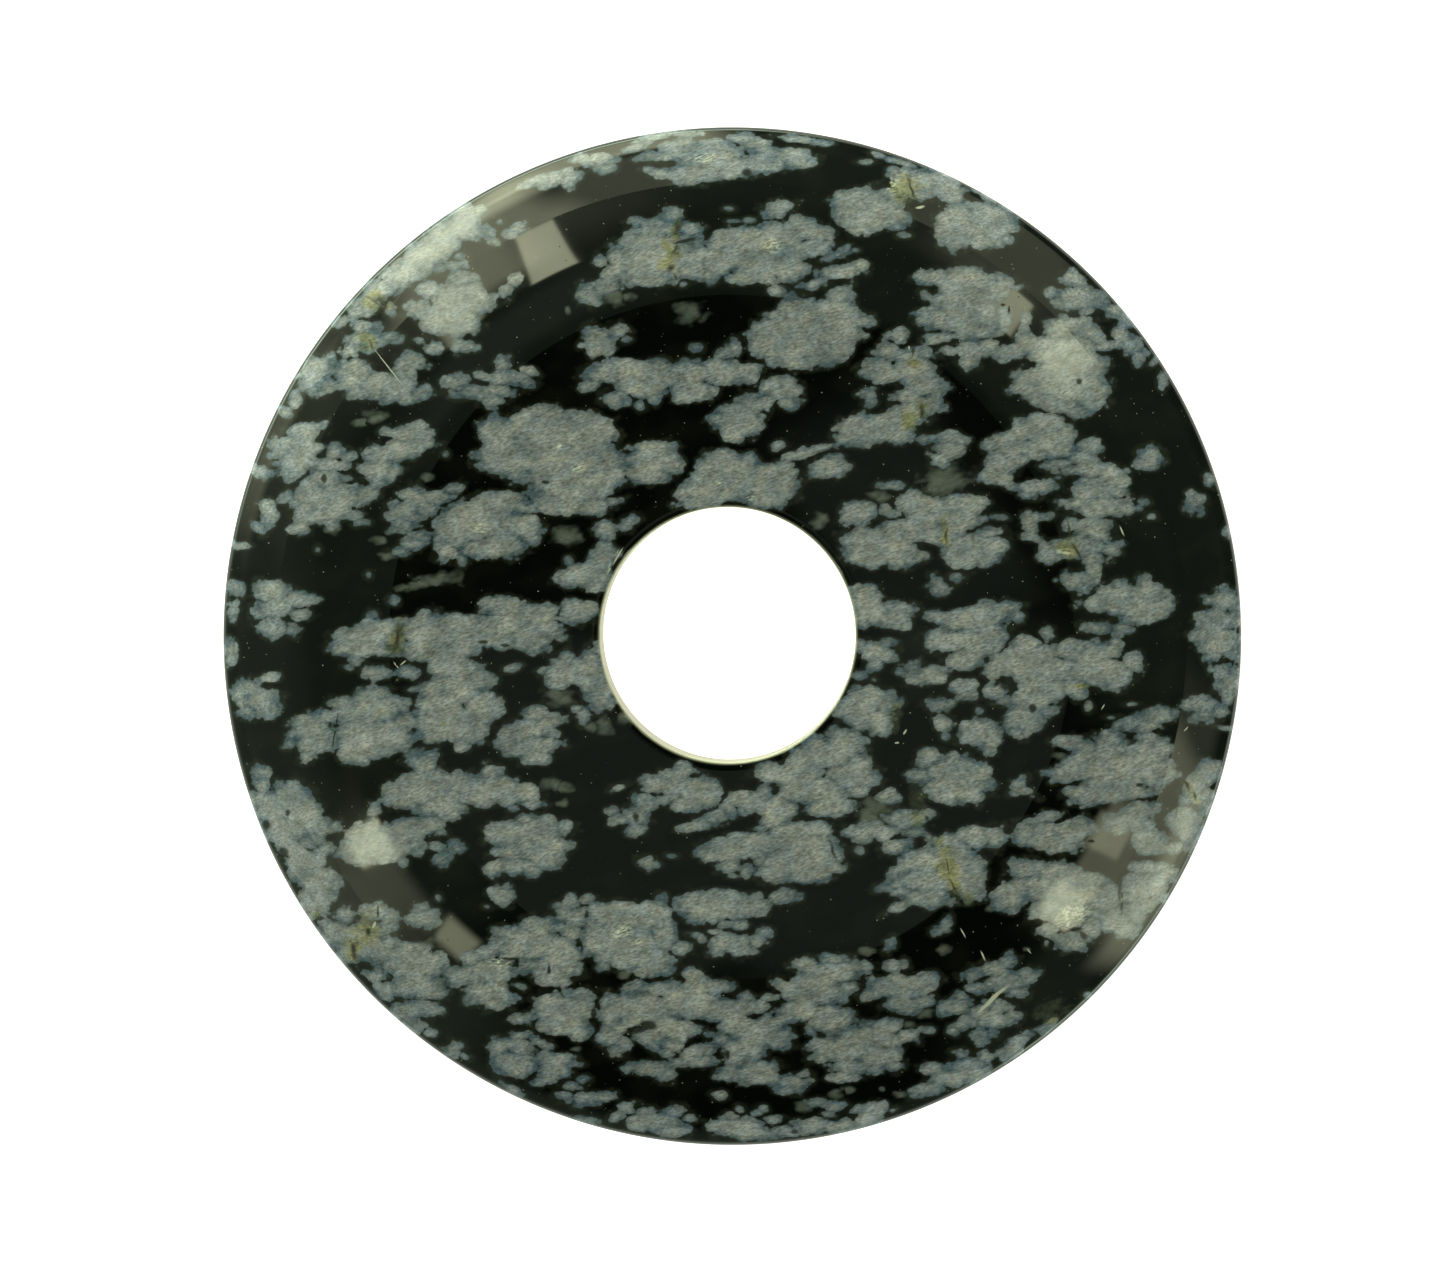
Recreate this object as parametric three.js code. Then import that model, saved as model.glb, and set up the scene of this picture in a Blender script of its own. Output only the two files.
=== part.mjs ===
// A snowflake obsidian donut: a flat-ground, polished disc of stone with a round hole, made to hang on a cord.
// Millimetres, +Z up. The stone lies on its back face, and the origin is the middle of that face's circle.
import * as THREE from "three";

// Driving dimensions
const DIAMETER = 50;
const HOLE_DIAMETER = 12.5;
const THICKNESS = 6.5;
const LAND_DIAMETER = 33.5; // both faces are ground flat out to this circle
const BEVEL_DIAMETER = 44.6; // the shoulder is ground in two passes, which meet in a crease on this circle
const RIM_ROUND = 0.4; // radius of the rounding between the bevel and the straight edge
const HOLE_ROUND = 0.15; // radius of the rounding at the hole's two edges
const HOLE_DRIFT = new THREE.Vector2(-0.17, 0.11); // the hole was drilled this far off centre

// How far each ground surface falls away from the flat face, at its inner and at its outer circle
const degrees = THREE.MathUtils.degToRad;
const SHOULDER_SLOPES = { inner: degrees(2.5), outer: degrees(12) };
const BEVEL_SLOPES = { inner: degrees(16), outer: degrees(36) };

// Facets
const TURNS = 96;
const SHOULDER_STEPS = 5;
const BEVEL_STEPS = 5;
const RIM_STEPS = 4;
const HOLE_ROUND_STEPS = 3;

const rimRadius = DIAMETER / 2;
const holeRadius = HOLE_DIAMETER / 2;
const landRadius = LAND_DIAMETER / 2;
const bevelRadius = BEVEL_DIAMETER / 2;
const halfThickness = THICKNESS / 2;

// The points of the section are (radius from the axis, height above the middle plane). A convex arc runs outwards and
// down from a point, while its slope goes from one angle to another over a given run in radius.
function slopingArc(start, run, slopes, steps) {
  const radius = run / (Math.sin(slopes.outer) - Math.sin(slopes.inner));
  return Array.from({ length: steps + 1 }, (_, i) => {
    const slope = THREE.MathUtils.lerp(slopes.inner, slopes.outer, i / steps);
    return new THREE.Vector2(
      start.x + radius * (Math.sin(slope) - Math.sin(slopes.inner)),
      start.y + radius * (Math.cos(slope) - Math.cos(slopes.inner)),
    );
  });
}

// The upper half of the section, from the hole's wall over the flat land, the shoulder and the bevel to the edge. The
// rounding ends upright, and a straight band as wide as what is left of the thickness joins the two halves.
function upperSection() {
  const level = 0;
  const upright = Math.PI / 2;
  const holeEdge = slopingArc(
    new THREE.Vector2(holeRadius, halfThickness - HOLE_ROUND),
    HOLE_ROUND,
    { inner: -upright, outer: level },
    HOLE_ROUND_STEPS,
  );
  const shoulder = slopingArc(
    new THREE.Vector2(landRadius, halfThickness),
    bevelRadius - landRadius,
    SHOULDER_SLOPES,
    SHOULDER_STEPS,
  );
  const rimRun = RIM_ROUND * (1 - Math.sin(BEVEL_SLOPES.outer));
  const bevel = slopingArc(
    shoulder.at(-1),
    rimRadius - rimRun - bevelRadius,
    BEVEL_SLOPES,
    BEVEL_STEPS,
  );
  const rim = slopingArc(
    bevel.at(-1),
    rimRun,
    { inner: BEVEL_SLOPES.outer, outer: upright },
    RIM_STEPS,
  );
  return [...holeEdge, ...shoulder, ...bevel.slice(1), ...rim.slice(1)];
}

// The whole section as a closed loop: the upper half, its mirror image from the edge back to the hole, and the first
// point again. It is turned round so that the lathe's faces point outwards.
function section() {
  const upper = upperSection();
  const lower = upper.map((p) => new THREE.Vector2(p.x, -p.y)).reverse();
  return [...upper, ...lower, upper[0]].reverse();
}

// Moves the hole off centre: the wall goes the whole way, and the shift fades out to nothing at the edge of the land.
function drift(geometry) {
  const position = geometry.getAttribute("position");
  for (let i = 0; i < position.count; i++) {
    const radius = Math.hypot(position.getX(i), position.getY(i));
    const share =
      1 - THREE.MathUtils.smoothstep(radius, holeRadius, landRadius);
    position.setX(i, position.getX(i) + HOLE_DRIFT.x * share);
    position.setY(i, position.getY(i) + HOLE_DRIFT.y * share);
  }
  return geometry;
}

function donut() {
  const geometry = new THREE.LatheGeometry(section(), TURNS);
  geometry.rotateX(Math.PI / 2);
  const obsidian = new THREE.MeshStandardMaterial({
    color: 0x3a403b, // black glass and grey snowflakes, seen together from a distance
    roughness: 0.12,
    metalness: 0,
  });
  const mesh = new THREE.Mesh(drift(geometry), obsidian);
  mesh.name = "donut";
  mesh.position.z = halfThickness;
  return mesh;
}

const stone = new THREE.Group();
stone.add(donut());

export default stone;
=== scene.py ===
"""A snowflake obsidian donut, polished on both faces, on a bright white table and seen from straight above.

The stone is one lathe-turned surface. Its snowflakes are spherulites, balls of grey crystal that grew in
the glass and were cut flush with it, so they are colour and not relief. Each lobe of a snowflake is an
ellipsoid, the surface carries the place inside the nearest three ellipsoids as attributes, and the
material draws the outlines from those. The lobes of the upper face were read off the photograph, in
its pixels. The rest are grown at random.
"""

import logging
import math
from dataclasses import astuple, dataclass
from enum import Enum
from typing import Self

import bpy
import numpy as np
from mathutils import Matrix, Vector

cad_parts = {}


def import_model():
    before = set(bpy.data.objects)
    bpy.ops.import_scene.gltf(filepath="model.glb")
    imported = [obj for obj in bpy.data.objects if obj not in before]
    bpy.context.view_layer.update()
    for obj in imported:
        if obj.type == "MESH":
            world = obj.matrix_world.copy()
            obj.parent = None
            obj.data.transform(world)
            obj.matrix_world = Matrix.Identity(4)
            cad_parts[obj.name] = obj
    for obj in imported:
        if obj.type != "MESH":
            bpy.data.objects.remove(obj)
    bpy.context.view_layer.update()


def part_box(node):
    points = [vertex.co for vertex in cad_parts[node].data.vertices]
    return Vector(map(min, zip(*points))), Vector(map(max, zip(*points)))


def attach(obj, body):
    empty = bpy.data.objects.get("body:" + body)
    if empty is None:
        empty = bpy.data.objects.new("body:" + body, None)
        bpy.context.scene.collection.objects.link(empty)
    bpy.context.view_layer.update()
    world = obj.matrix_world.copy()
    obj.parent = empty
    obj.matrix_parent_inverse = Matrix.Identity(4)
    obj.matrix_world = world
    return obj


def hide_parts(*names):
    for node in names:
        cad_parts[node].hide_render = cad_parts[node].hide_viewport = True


LOG = logging.getLogger("donut")

# What a node's input takes: a value, or the output that it is linked to
Value = bpy.types.NodeSocket | float | tuple[float, ...]

MULTIPLY = {"operation": "MULTIPLY"}
MULTIPLY_ADD = {"operation": "MULTIPLY_ADD"}
COLOURS = {"data_type": "RGBA"}
SMOOTH_STEP = {"interpolation_type": "SMOOTHSTEP"}

MM = 0.001
PHOTO_WIDTH = 1445
PHOTO_HEIGHT = 1276
SEED = 20

# How deep a lobe that was read on the face reaches into the stone, as a multiple of its mean half size
DEPTH_TO_SIZE = 1.2


def linear(hex_colour: str) -> tuple[float, float, float, float]:
    """Turns an sRGB hex colour into the linear RGBA that Blender's sockets take.

    Args:
        hex_colour: Six hex digits, with or without a leading #.

    Returns:
        Linear red, green and blue, and an alpha of 1.
    """
    digits = hex_colour.lstrip("#")
    channels = [int(digits[i : i + 2], 16) / 255 for i in (0, 2, 4)]
    return (*(c / 12.92 if c <= 0.04045 else ((c + 0.055) / 1.055) ** 2.4 for c in channels), 1.0)


def placed(turned: np.ndarray, place: np.ndarray) -> Matrix:
    """Makes the matrix of an object that is turned by three columns and stands at a place."""
    matrix = np.eye(4)
    matrix[:3, :3] = turned
    matrix[:3, 3] = place
    return Matrix(matrix.tolist())


@dataclass(frozen=True)
class Lobe:
    """One lobe of a snowflake, or one mark, as an ellipse on the photograph.

    x, y, half_length and half_height are in the photograph's pixels. tilt is in degrees and rises to the
    right.
    """

    x: float
    y: float
    half_length: float
    half_height: float
    tilt: float = 0.0


def lobes(*rows: tuple[float, ...]) -> list[Lobe]:
    """Makes lobes of rows of x, y, half length, half height and, where it isn't level, tilt."""
    return [Lobe(*row) for row in rows]


# The snowflakes of the upper face, by where they are on it, from the top left to the bottom right.
SNOWFLAKES: dict[str, list[Lobe]] = {
    "upper left rim": lobes(
        (462, 222, 24, 18, 35), (472, 232, 20, 9, 12), (440, 243, 28, 19, 40), (418, 262, 26, 18, 42),
        (400, 279, 16, 8, 20), (395, 272, 16, 10, 42), (490, 233, 8, 6), (459, 256, 7, 4),
        (439, 269, 7, 6), (455, 266, 9, 4.5), (465, 265, 6, 5), (447, 250, 8, 6), (548, 180, 24, 9, 12),
        (568, 177, 13, 11), (530, 186, 16, 4, 8), (596, 160, 22, 7, 5), (605, 168, 12, 5),
        (580, 158, 14, 5, 15), (519, 227, 9, 7), (510, 234, 9, 5), (495, 242, 6, 4.5), (500, 222, 4, 3),
    ),
    "in the upper left lamp": lobes(
        (462, 278, 16, 10), (465, 300, 34, 18), (450, 320, 34, 18), (430, 290, 14, 10),
        (420, 310, 14, 10), (432, 347, 12, 8), (462, 347, 14, 8), (420, 340, 8, 4.5),
        (515, 279, 10, 7, 30), (507, 290, 8, 8),
    ),
    "stained, upper left": lobes(
        (372, 292, 20, 10, 30), (362, 306, 20, 12, 30), (390, 309, 6, 9), (398, 293, 7, 2.5, 45),
        (394, 285, 6, 6), (340, 322, 10, 6, 35), (378, 326.5, 6, 5.5), (372, 342, 16, 10, 20),
        (355, 340, 10, 8), (350, 350, 11, 8), (388, 336, 10, 6), (400, 339, 7, 5), (386, 292, 12, 9),
        (361, 327, 11, 9),
    ),
    "left shoulder, upper": lobes(
        (318, 368, 18, 14, 30), (312, 378, 15, 14), (331, 357, 5, 4), (355, 375, 22, 15),
        (375, 385, 20, 14), (405, 370, 14, 16), (414, 360, 14, 12), (310, 387, 12, 9), (325, 385, 12, 9),
        (350, 385, 16, 9), (360, 392, 18, 8), (395, 387, 25, 13), (400, 396, 24, 8), (420, 393, 14, 7),
        (295, 400, 8, 9), (285, 412, 6, 12, 60), (455, 383, 14, 9), (465, 394, 14, 6), (470, 389, 12, 5),
    ),
    "top": lobes(
        (635, 147, 20, 4.5, 20), (650, 138, 25, 4, 12), (680, 133, 20, 4), (650, 156, 14, 4.5, 10),
        (680, 150, 24, 13), (715, 152, 30, 13), (660, 173, 18, 5, -8), (690, 172, 30, 9),
        (725, 168, 34, 12), (765, 162, 30, 13, 8), (795, 158, 22, 11, -5), (805, 163, 12, 6),
        (752, 145, 20, 6, 10), (745, 138, 18, 5), (690, 183, 14, 4.5), (795, 139, 18, 4, -5),
        (820, 143, 12, 3.5), (745, 137, 14, 5), (668, 157, 20, 6), (700, 162, 30, 8), (760, 150, 20, 5),
        (700, 178, 25, 6),
    ),
    "land, upper left": lobes(
        (600, 343, 17, 14), (618, 332, 10, 9), (625, 330, 6, 4), (625, 340, 6, 4), (592, 330, 9, 7),
        (582, 345, 3.5, 3), (503, 364, 9, 8), (485, 377, 12, 5, -20), (508, 378, 24, 9),
        (530, 372, 12, 5, -10), (528, 383, 8, 5), (500, 391, 20, 6.5), (490, 400, 14, 10),
    ),
    "upper, left of the middle": lobes(
        (672, 215, 14, 10, 10), (640, 222, 14, 6, -10), (655, 228, 28, 10, 10), (690, 228, 14, 9, -25),
        (640, 243, 30, 10, 8), (655, 262, 32, 22), (690, 258, 18, 20), (632, 258, 26, 14),
        (650, 275, 20, 11), (612, 272, 20, 10, 35), (605, 285, 18, 12, 20), (590, 294, 15, 12),
        (684, 284, 5, 3), (680, 240, 18, 8), (650, 280, 28, 7), (620, 262, 14, 10), (695, 272, 12, 10),
        (600, 262, 8, 7),
    ),
    "upper, right of the middle": lobes(
        (725, 240, 20, 12, 20), (718, 262, 18, 16), (745, 250, 30, 24), (775, 250, 36, 26),
        (800, 230, 20, 14), (822, 232, 14, 9), (815, 247, 20, 10), (790, 268, 22, 14), (755, 270, 26, 14),
        (770, 228, 14, 8), (777, 209, 18, 9, 10), (730, 209, 5, 2.5), (750, 220, 7, 3), (735, 221, 6, 2),
        (835, 255, 18, 6, 20), (840, 272, 26, 8, 10), (860, 267, 12, 7), (815, 283, 16, 6, 15),
        (816, 273, 4, 5), (855, 250, 4, 2), (777, 291, 10, 5), (790, 297, 6, 5), (750, 278, 30, 8),
        (712, 275, 12, 8),
    ),
    "upper right shoulder": lobes(
        (862, 210, 31, 24), (885, 205, 20, 18), (895, 220, 20, 9), (845, 203, 14, 12), (904, 235, 6, 3.5),
        (903, 183, 15, 17), (925, 185, 25, 18), (950, 192, 18, 14), (895, 172, 8, 6), (935, 178, 20, 10),
        (878, 155, 10, 3, -15), (900, 162, 18, 3.5, -17), (865, 162, 8, 3), (960, 225, 27, 23),
        (985, 225, 28, 24), (1000, 218, 24, 13, -25), (1005, 238, 8, 6), (950, 242, 12, 9),
        (985, 240, 20, 10), (985, 196, 14, 4, -30),
    ),
    "land, upper right": lobes(
        (785, 340, 38, 26), (820, 340, 36, 28), (830, 318, 36, 20), (800, 310, 24, 16),
        (840, 296, 16, 10, 35), (862, 322, 13, 7), (775, 315, 12, 6), (800, 362, 28, 10),
        (850, 335, 14, 12),
    ),
    "land, above the hole, left": lobes(
        (696, 347, 8, 4.5), (726, 352, 11, 8, 30), (735, 347, 6, 8), (660, 370, 20, 12),
        (640, 372, 30, 14), (610, 372, 28, 12, 10), (665, 380, 16, 10), (590, 385, 12, 6, 20),
        (640, 385, 30, 14), (615, 397, 16, 10), (655, 395, 8, 8), (640, 405, 6, 5), (690, 372, 24, 14),
        (720, 372, 30, 14), (745, 372, 18, 10), (690, 390, 26, 12), (685, 397, 14, 7), (708, 392, 12, 8),
    ),
    "right of the middle, upper": lobes(
        (935, 277, 24, 9), (965, 280, 30, 16), (960, 300, 28, 18), (950, 318, 34, 14), (975, 325, 28, 16),
        (985, 290, 22, 18), (1003, 282, 14, 7), (940, 338, 18, 6, 10), (925, 295, 8, 5),
        (983, 305, 14, 20), (1004, 319, 8, 13), (1026, 321, 7, 13), (1018, 287, 7, 4), (898, 337, 11, 9),
        (890, 350, 14, 10), (905, 355, 20, 10), (875, 353, 6, 3.5), (880, 370, 20, 14),
        (915, 370, 26, 16), (925, 355, 14, 8), (935, 382, 10, 6), (950, 350, 14, 4, -5),
        (975, 350, 22, 9), (968, 362, 10, 7), (985, 343, 12, 5), (990, 345, 8, 6),
    ),
    "right rim, upper": lobes(
        (1050, 292, 7, 6), (1072, 279, 13, 9), (1080, 298, 26, 13), (1062, 303, 10, 8),
        (1095, 300, 14, 10), (1088, 310, 10, 5), (1115, 312, 9, 8), (1125, 322, 12, 8, -45),
        (1120, 335, 10, 9), (1132, 345, 12, 8, -30), (1140, 355, 10, 10), (1108, 345, 18, 5, 5),
        (1060, 328, 18, 13), (1082, 330, 18, 14), (1095, 340, 14, 7), (1050, 350, 24, 16),
        (1035, 345, 16, 8, 10), (1085, 365, 24, 16), (1060, 375, 34, 16), (1030, 378, 20, 12),
        (1010, 352, 20, 9, 8), (1025, 342, 14, 8), (1163, 380, 5, 8), (1155, 360, 4, 8, -60),
        (1070, 388, 42, 18), (1090, 398, 20, 14), (1060, 402, 28, 10), (1078, 412, 12, 9),
        (1030, 388, 20, 9), (1045, 395, 22, 12), (1080, 345, 22, 10), (1055, 352, 18, 14),
        (1126, 336, 10, 8), (1136, 350, 10, 10),
    ),
    "left shoulder": lobes(
        (303, 433, 20, 12, 5), (318, 427, 10, 6, 20), (298, 447, 24, 16), (312, 448, 16, 9),
        (295, 462, 18, 13), (287, 474, 9, 8), (273, 455, 8, 5), (276, 463, 5, 3), (335, 452, 12, 8),
        (347, 457, 10, 6), (342, 465, 12, 5), (325, 465, 14, 9), (345, 478, 9, 4), (313, 488, 14, 12),
        (330, 480, 14, 9), (340, 497, 28, 14), (365, 495, 16, 9, 20), (330, 510, 26, 14),
        (350, 515, 14, 7), (360, 522, 9, 4), (305, 515, 16, 12), (300, 527, 11, 8), (330, 522, 10, 7),
        (287, 497, 7, 7), (295, 505, 8, 5), (266, 505, 9, 7), (269, 515, 9, 13), (257, 528, 6, 9, 50),
        (255, 470, 7, 18, 70), (310, 497, 14, 8), (322, 478, 16, 10), (275, 445, 9, 10),
    ),
    "land, left, upper": lobes(
        (415, 435, 22, 13), (400, 450, 30, 11, 10), (425, 442, 15, 8), (387, 432, 7, 4),
        (378, 455, 17, 13), (375, 470, 18, 13), (392, 475, 10, 11), (380, 483, 12, 5), (446, 454, 3.5, 3),
        (412, 495, 18, 11), (432, 498, 22, 9, 10), (452, 489, 12, 5, 25), (405, 510, 18, 12),
        (425, 508, 16, 9), (392, 516, 9, 6), (405, 524, 16, 8), (398, 529, 10, 4), (420, 535, 10, 7),
        (415, 545, 14, 7), (400, 552, 12, 5), (500, 502, 32, 11), (460, 515, 24, 14, 15),
        (485, 520, 36, 24), (455, 532, 22, 16), (515, 525, 28, 14), (530, 530, 14, 8), (500, 545, 30, 15),
        (445, 550, 13, 11), (475, 548, 16, 10), (463, 561, 6, 6), (412, 518, 14, 8), (525, 508, 14, 6),
        (530, 538, 12, 8),
    ),
    "large, above the hole": lobes(
        (545, 425, 45, 20), (600, 432, 20, 14), (500, 432, 22, 18), (510, 455, 35, 20),
        (560, 450, 55, 30), (585, 425, 30, 14), (495, 465, 20, 9), (520, 475, 14, 9), (575, 480, 48, 24),
        (560, 500, 32, 15), (610, 475, 22, 14), (655, 462, 30, 18), (655, 450, 26, 10),
        (645, 475, 28, 11), (595, 505, 20, 12), (612, 502, 14, 5, 20), (605, 530, 14, 10.5),
        (630, 520, 11, 6.5, 25), (624, 527, 8, 5), (612, 462, 16, 12),
    ),
    "upper edge of the hole": lobes(
        (738, 420, 26, 20), (750, 405, 16, 12), (722, 418, 16, 7), (735, 436, 14, 7), (780, 388, 22, 13),
        (765, 402, 12, 9), (788, 403, 12, 6), (779, 445, 8, 5, 15), (725, 463, 30, 14),
        (745, 465, 20, 12), (720, 485, 34, 18), (760, 480, 36, 17), (785, 485, 16, 18), (690, 492, 16, 9),
        (700, 502, 26, 8), (770, 498, 26, 10), (777, 470, 16, 10), (585, 575, 28, 14, 8),
        (603, 558, 18, 14, 40), (597, 580, 16, 14), (569, 562, 5, 5),
    ),
    "right of the hole, upper": lobes(
        (865, 430, 28, 17), (885, 425, 20, 14), (850, 440, 20, 8), (905, 415, 22, 14), (930, 405, 16, 10),
        (895, 432, 22, 12), (825, 447, 18, 5, 10), (800, 454, 16, 5, 15), (870, 394, 10, 7),
        (871, 402, 7, 5), (925, 388, 22, 10), (910, 393, 12, 5), (945, 438, 20, 7), (955, 440, 14, 8),
        (950, 450, 16, 12), (940, 460, 12, 8), (925, 440, 8, 5), (828, 467, 20, 11), (842, 467, 10, 6),
        (833, 457, 10, 4), (820, 474, 14, 5), (858, 513, 20, 13), (885, 510, 7, 6), (893, 514, 8, 5),
        (893, 486, 12, 5), (880, 485, 5, 3), (912, 398, 20, 6),
    ),
    "large, right of the hole": lobes(
        (912, 503, 16, 14), (930, 512, 28, 18), (965, 503, 24, 11), (955, 520, 28, 14),
        (915, 530, 40, 14), (880, 540, 40, 14), (870, 553, 32, 15), (900, 552, 22, 17),
        (965, 550, 24, 20), (990, 545, 22, 11), (985, 555, 20, 11), (990, 533, 14, 7), (940, 535, 20, 12),
        (937, 585, 13, 12), (955, 577, 8, 5), (922, 555, 8, 5), (865, 600, 18, 17), (872, 612, 18, 12),
        (900, 610, 20, 10), (895, 620, 18, 11), (862, 620, 10, 9), (975, 618, 38, 14, 8),
        (1000, 607, 24, 8), (985, 635, 26, 16), (940, 640, 20, 12), (1018, 615, 6, 6), (940, 618, 16, 9),
    ),
    "right shoulder, upper": lobes(
        (1045, 432, 34, 18, -5), (1010, 445, 28, 14, 10), (1045, 447, 34, 14), (1005, 462, 27, 14, 15),
        (995, 475, 20, 10), (1040, 420, 14, 8), (1065, 450, 12, 8), (1088, 447, 16, 9, 10),
        (1080, 458, 22, 6, 20), (1050, 466, 12, 5), (1055, 470, 6, 4), (1075, 470, 14, 6),
        (1090, 470, 20, 9), (1110, 475, 18, 9), (1115, 482, 15, 11), (1105, 468, 12, 5),
        (1038, 487, 20, 8, 15), (1030, 495, 8, 6), (1012, 487, 8, 5), (1095, 492, 24, 10),
        (1110, 490, 18, 8), (1075, 503, 20, 7), (1100, 507, 30, 11), (1122, 508, 13, 10),
        (1095, 515, 10, 6), (1143, 502, 6, 4), (1139, 508, 4, 4), (1151, 517, 6, 3.5),
        (1149, 459, 15, 12.5), (1193, 505, 12, 10), (1192, 494, 7, 6), (1200, 500, 8, 6),
        (1210, 480, 6, 7), (1228, 530, 5, 8), (1032, 518, 15, 7), (1045, 517, 10, 5), (1032, 528, 8, 10),
        (1030, 537, 10, 5), (1000, 517, 8, 3), (1092, 527, 24, 10), (1100, 535, 14, 8),
        (1070, 525, 10, 7), (1075, 548, 34, 12), (1110, 550, 14, 9), (1050, 552, 14, 11),
        (1095, 558, 14, 10), (1093, 570, 10, 12), (1080, 582, 20, 12), (1082, 457, 18, 8),
        (1060, 463, 20, 6), (1092, 482, 16, 6),
    ),
    "right rim": lobes(
        (1115, 597, 20, 18), (1100, 605, 22, 9), (1145, 598, 24, 15), (1140, 612, 28, 13),
        (1162, 605, 13, 10), (1143, 583, 8, 8), (1100, 628, 18, 7), (1120, 630, 12, 7),
        (1225, 600, 16, 14), (1210, 600, 10, 6), (1218, 620, 24, 13), (1200, 635, 16, 8),
        (1220, 640, 22, 16), (1222, 673, 12, 8), (1225, 687, 11, 7), (1232, 680, 8, 14),
        (1228, 700, 6, 8), (1226, 728, 3, 10, 80), (1215, 645, 20, 12), (1213, 655, 10, 7),
        (1235, 650, 6, 12),
    ),
    "left rim": lobes(
        (236, 588, 10, 9), (232, 610, 9, 11), (238, 545, 4, 14, 80), (272, 592, 21, 14),
        (297, 600, 20, 10), (308, 600, 11, 8), (275, 608, 26, 10), (302, 613, 14, 7), (273, 628, 18, 11),
        (292, 630, 7, 7), (258, 612, 10, 8), (230, 653, 8, 13), (250, 688, 18, 11), (268, 678, 13, 5, 15),
        (262, 700, 21, 12), (265, 708, 17, 12), (250, 712, 11, 8), (240, 695, 9, 12), (331, 703, 4, 4),
    ),
    "left of the hole": lobes(
        (395, 601, 6, 6), (318, 550, 3, 3), (369, 575, 2.5, 2.5), (505, 608, 27, 13), (540, 614, 20, 11),
        (500, 625, 30, 14), (540, 630, 25, 10), (530, 640, 22, 13), (500, 640, 24, 10),
        (578, 612, 20, 14), (360, 645, 34, 14), (375, 632, 26, 14, 10), (345, 640, 20, 11, 12),
        (356, 660, 10, 6), (348, 667, 5, 3), (380, 650, 18, 10), (373, 614, 7, 4.5), (376, 671, 14, 9),
        (408, 671, 13, 8), (430, 630, 34, 18), (455, 625, 26, 12), (440, 650, 40, 14), (425, 618, 14, 9),
        (460, 640, 24, 14), (455, 668, 28, 12), (450, 690, 36, 16), (440, 712, 28, 22),
        (435, 730, 20, 13), (465, 725, 22, 22), (415, 690, 10, 4), (463, 745, 10, 7), (478, 682, 20, 12),
        (482, 708, 22, 18), (475, 725, 14, 16), (511.5, 668.5, 9, 4.5, 10), (393, 640, 14, 12),
        (552, 632, 14, 10), (522, 618, 12, 8),
    ),
    "land, left, lower": lobes(
        (310, 728, 25, 14), (312, 745, 20, 14), (306, 755, 10, 8), (290, 745, 7, 6), (325, 740, 14, 14),
        (325, 718, 20, 9), (365, 710, 34, 18), (375, 695, 20, 9), (365, 738, 32, 22), (390, 735, 24, 18),
        (390, 705, 22, 12), (355, 755, 20, 10), (535, 712, 14, 8), (525, 730, 24, 14),
        (550, 722, 18, 9, 15), (515, 742, 19, 15), (545, 742, 18, 7), (535, 757, 16, 10),
        (530, 745, 24, 14), (402, 722, 14, 10), (550, 733, 12, 8),
    ),
    "lower left edge of the hole": lobes(
        (575, 672, 34, 16), (560, 683, 19, 8), (590, 660, 14, 14), (568, 657, 10, 9), (595, 680, 20, 20),
        (600, 698, 15, 13), (552, 670, 13, 7), (605, 690, 12, 14), (577, 709, 8, 5), (583, 716, 8, 9),
        (600, 650, 10, 10),
    ),
    "lower left rim": lobes(
        (260, 772, 10, 9), (262, 785, 9, 10), (290, 798, 24, 18), (300, 810, 24, 18), (270, 810, 18, 18),
        (255, 800, 10, 14, -60), (285, 830, 26, 16), (315, 825, 20, 12), (335, 826, 9, 6),
        (290, 845, 18, 12), (315, 838, 10, 7), (325, 850, 13, 6, 25), (305, 862, 24, 12),
        (315, 878, 26, 14), (318, 893, 20, 12), (295, 872, 10, 10), (328, 885, 14, 10),
        (316, 903, 17, 16), (344, 914, 14, 11), (376, 912, 18, 10), (389, 920, 11, 11), (386, 929, 8, 6),
        (335, 930, 20, 12), (333, 936, 16, 16), (349, 947, 16, 20), (366, 935, 20, 18),
        (376, 950, 18, 16), (391, 942, 13, 9), (353, 955, 10, 12), (305, 842, 12, 8),
    ),
    "in the lower left lamp": lobes(
        (365, 835, 24, 12), (355, 850, 18, 16), (385, 845, 30, 18), (400, 835, 26, 16), (403, 862, 6, 6),
        (410, 845, 16, 11), (422, 762, 18, 14), (425, 785, 32, 18), (400, 795, 22, 15),
        (455, 790, 34, 18), (445, 808, 26, 13), (425, 825, 20, 12), (410, 828, 24, 12), (440, 833, 9, 5),
        (480, 790, 26, 18), (500, 790, 24, 16), (525, 793, 20, 11), (530, 803, 14, 5), (492, 775, 12, 11),
        (515, 808, 6, 4), (374, 810, 7, 8), (443, 860, 11, 8), (440, 848, 9, 6), (456, 847, 9, 8),
        (424, 918, 16, 13), (421, 912, 9, 8), (432, 918, 8, 8), (438, 898, 3, 3), (428, 812, 16, 8),
    ),
    "bottom left": lobes(
        (414, 963, 33, 17), (437, 957, 9, 9), (395, 957, 16, 10), (378, 976, 14, 7), (415, 985, 26, 16),
        (438, 993, 12, 7), (387, 991, 13, 10), (415, 1008, 23, 11), (433, 1009, 10, 9),
        (403, 1010, 15, 10), (412, 1024, 12, 9), (431, 1033, 6, 5), (453, 1048, 11, 10),
        (464, 1056, 6, 3, -20), (455, 977, 12, 10), (470, 975, 18, 11), (480, 995, 18, 12),
        (486, 953, 15, 9), (472, 960, 14, 8), (490, 970, 28, 14), (492, 992, 22, 12),
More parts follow.
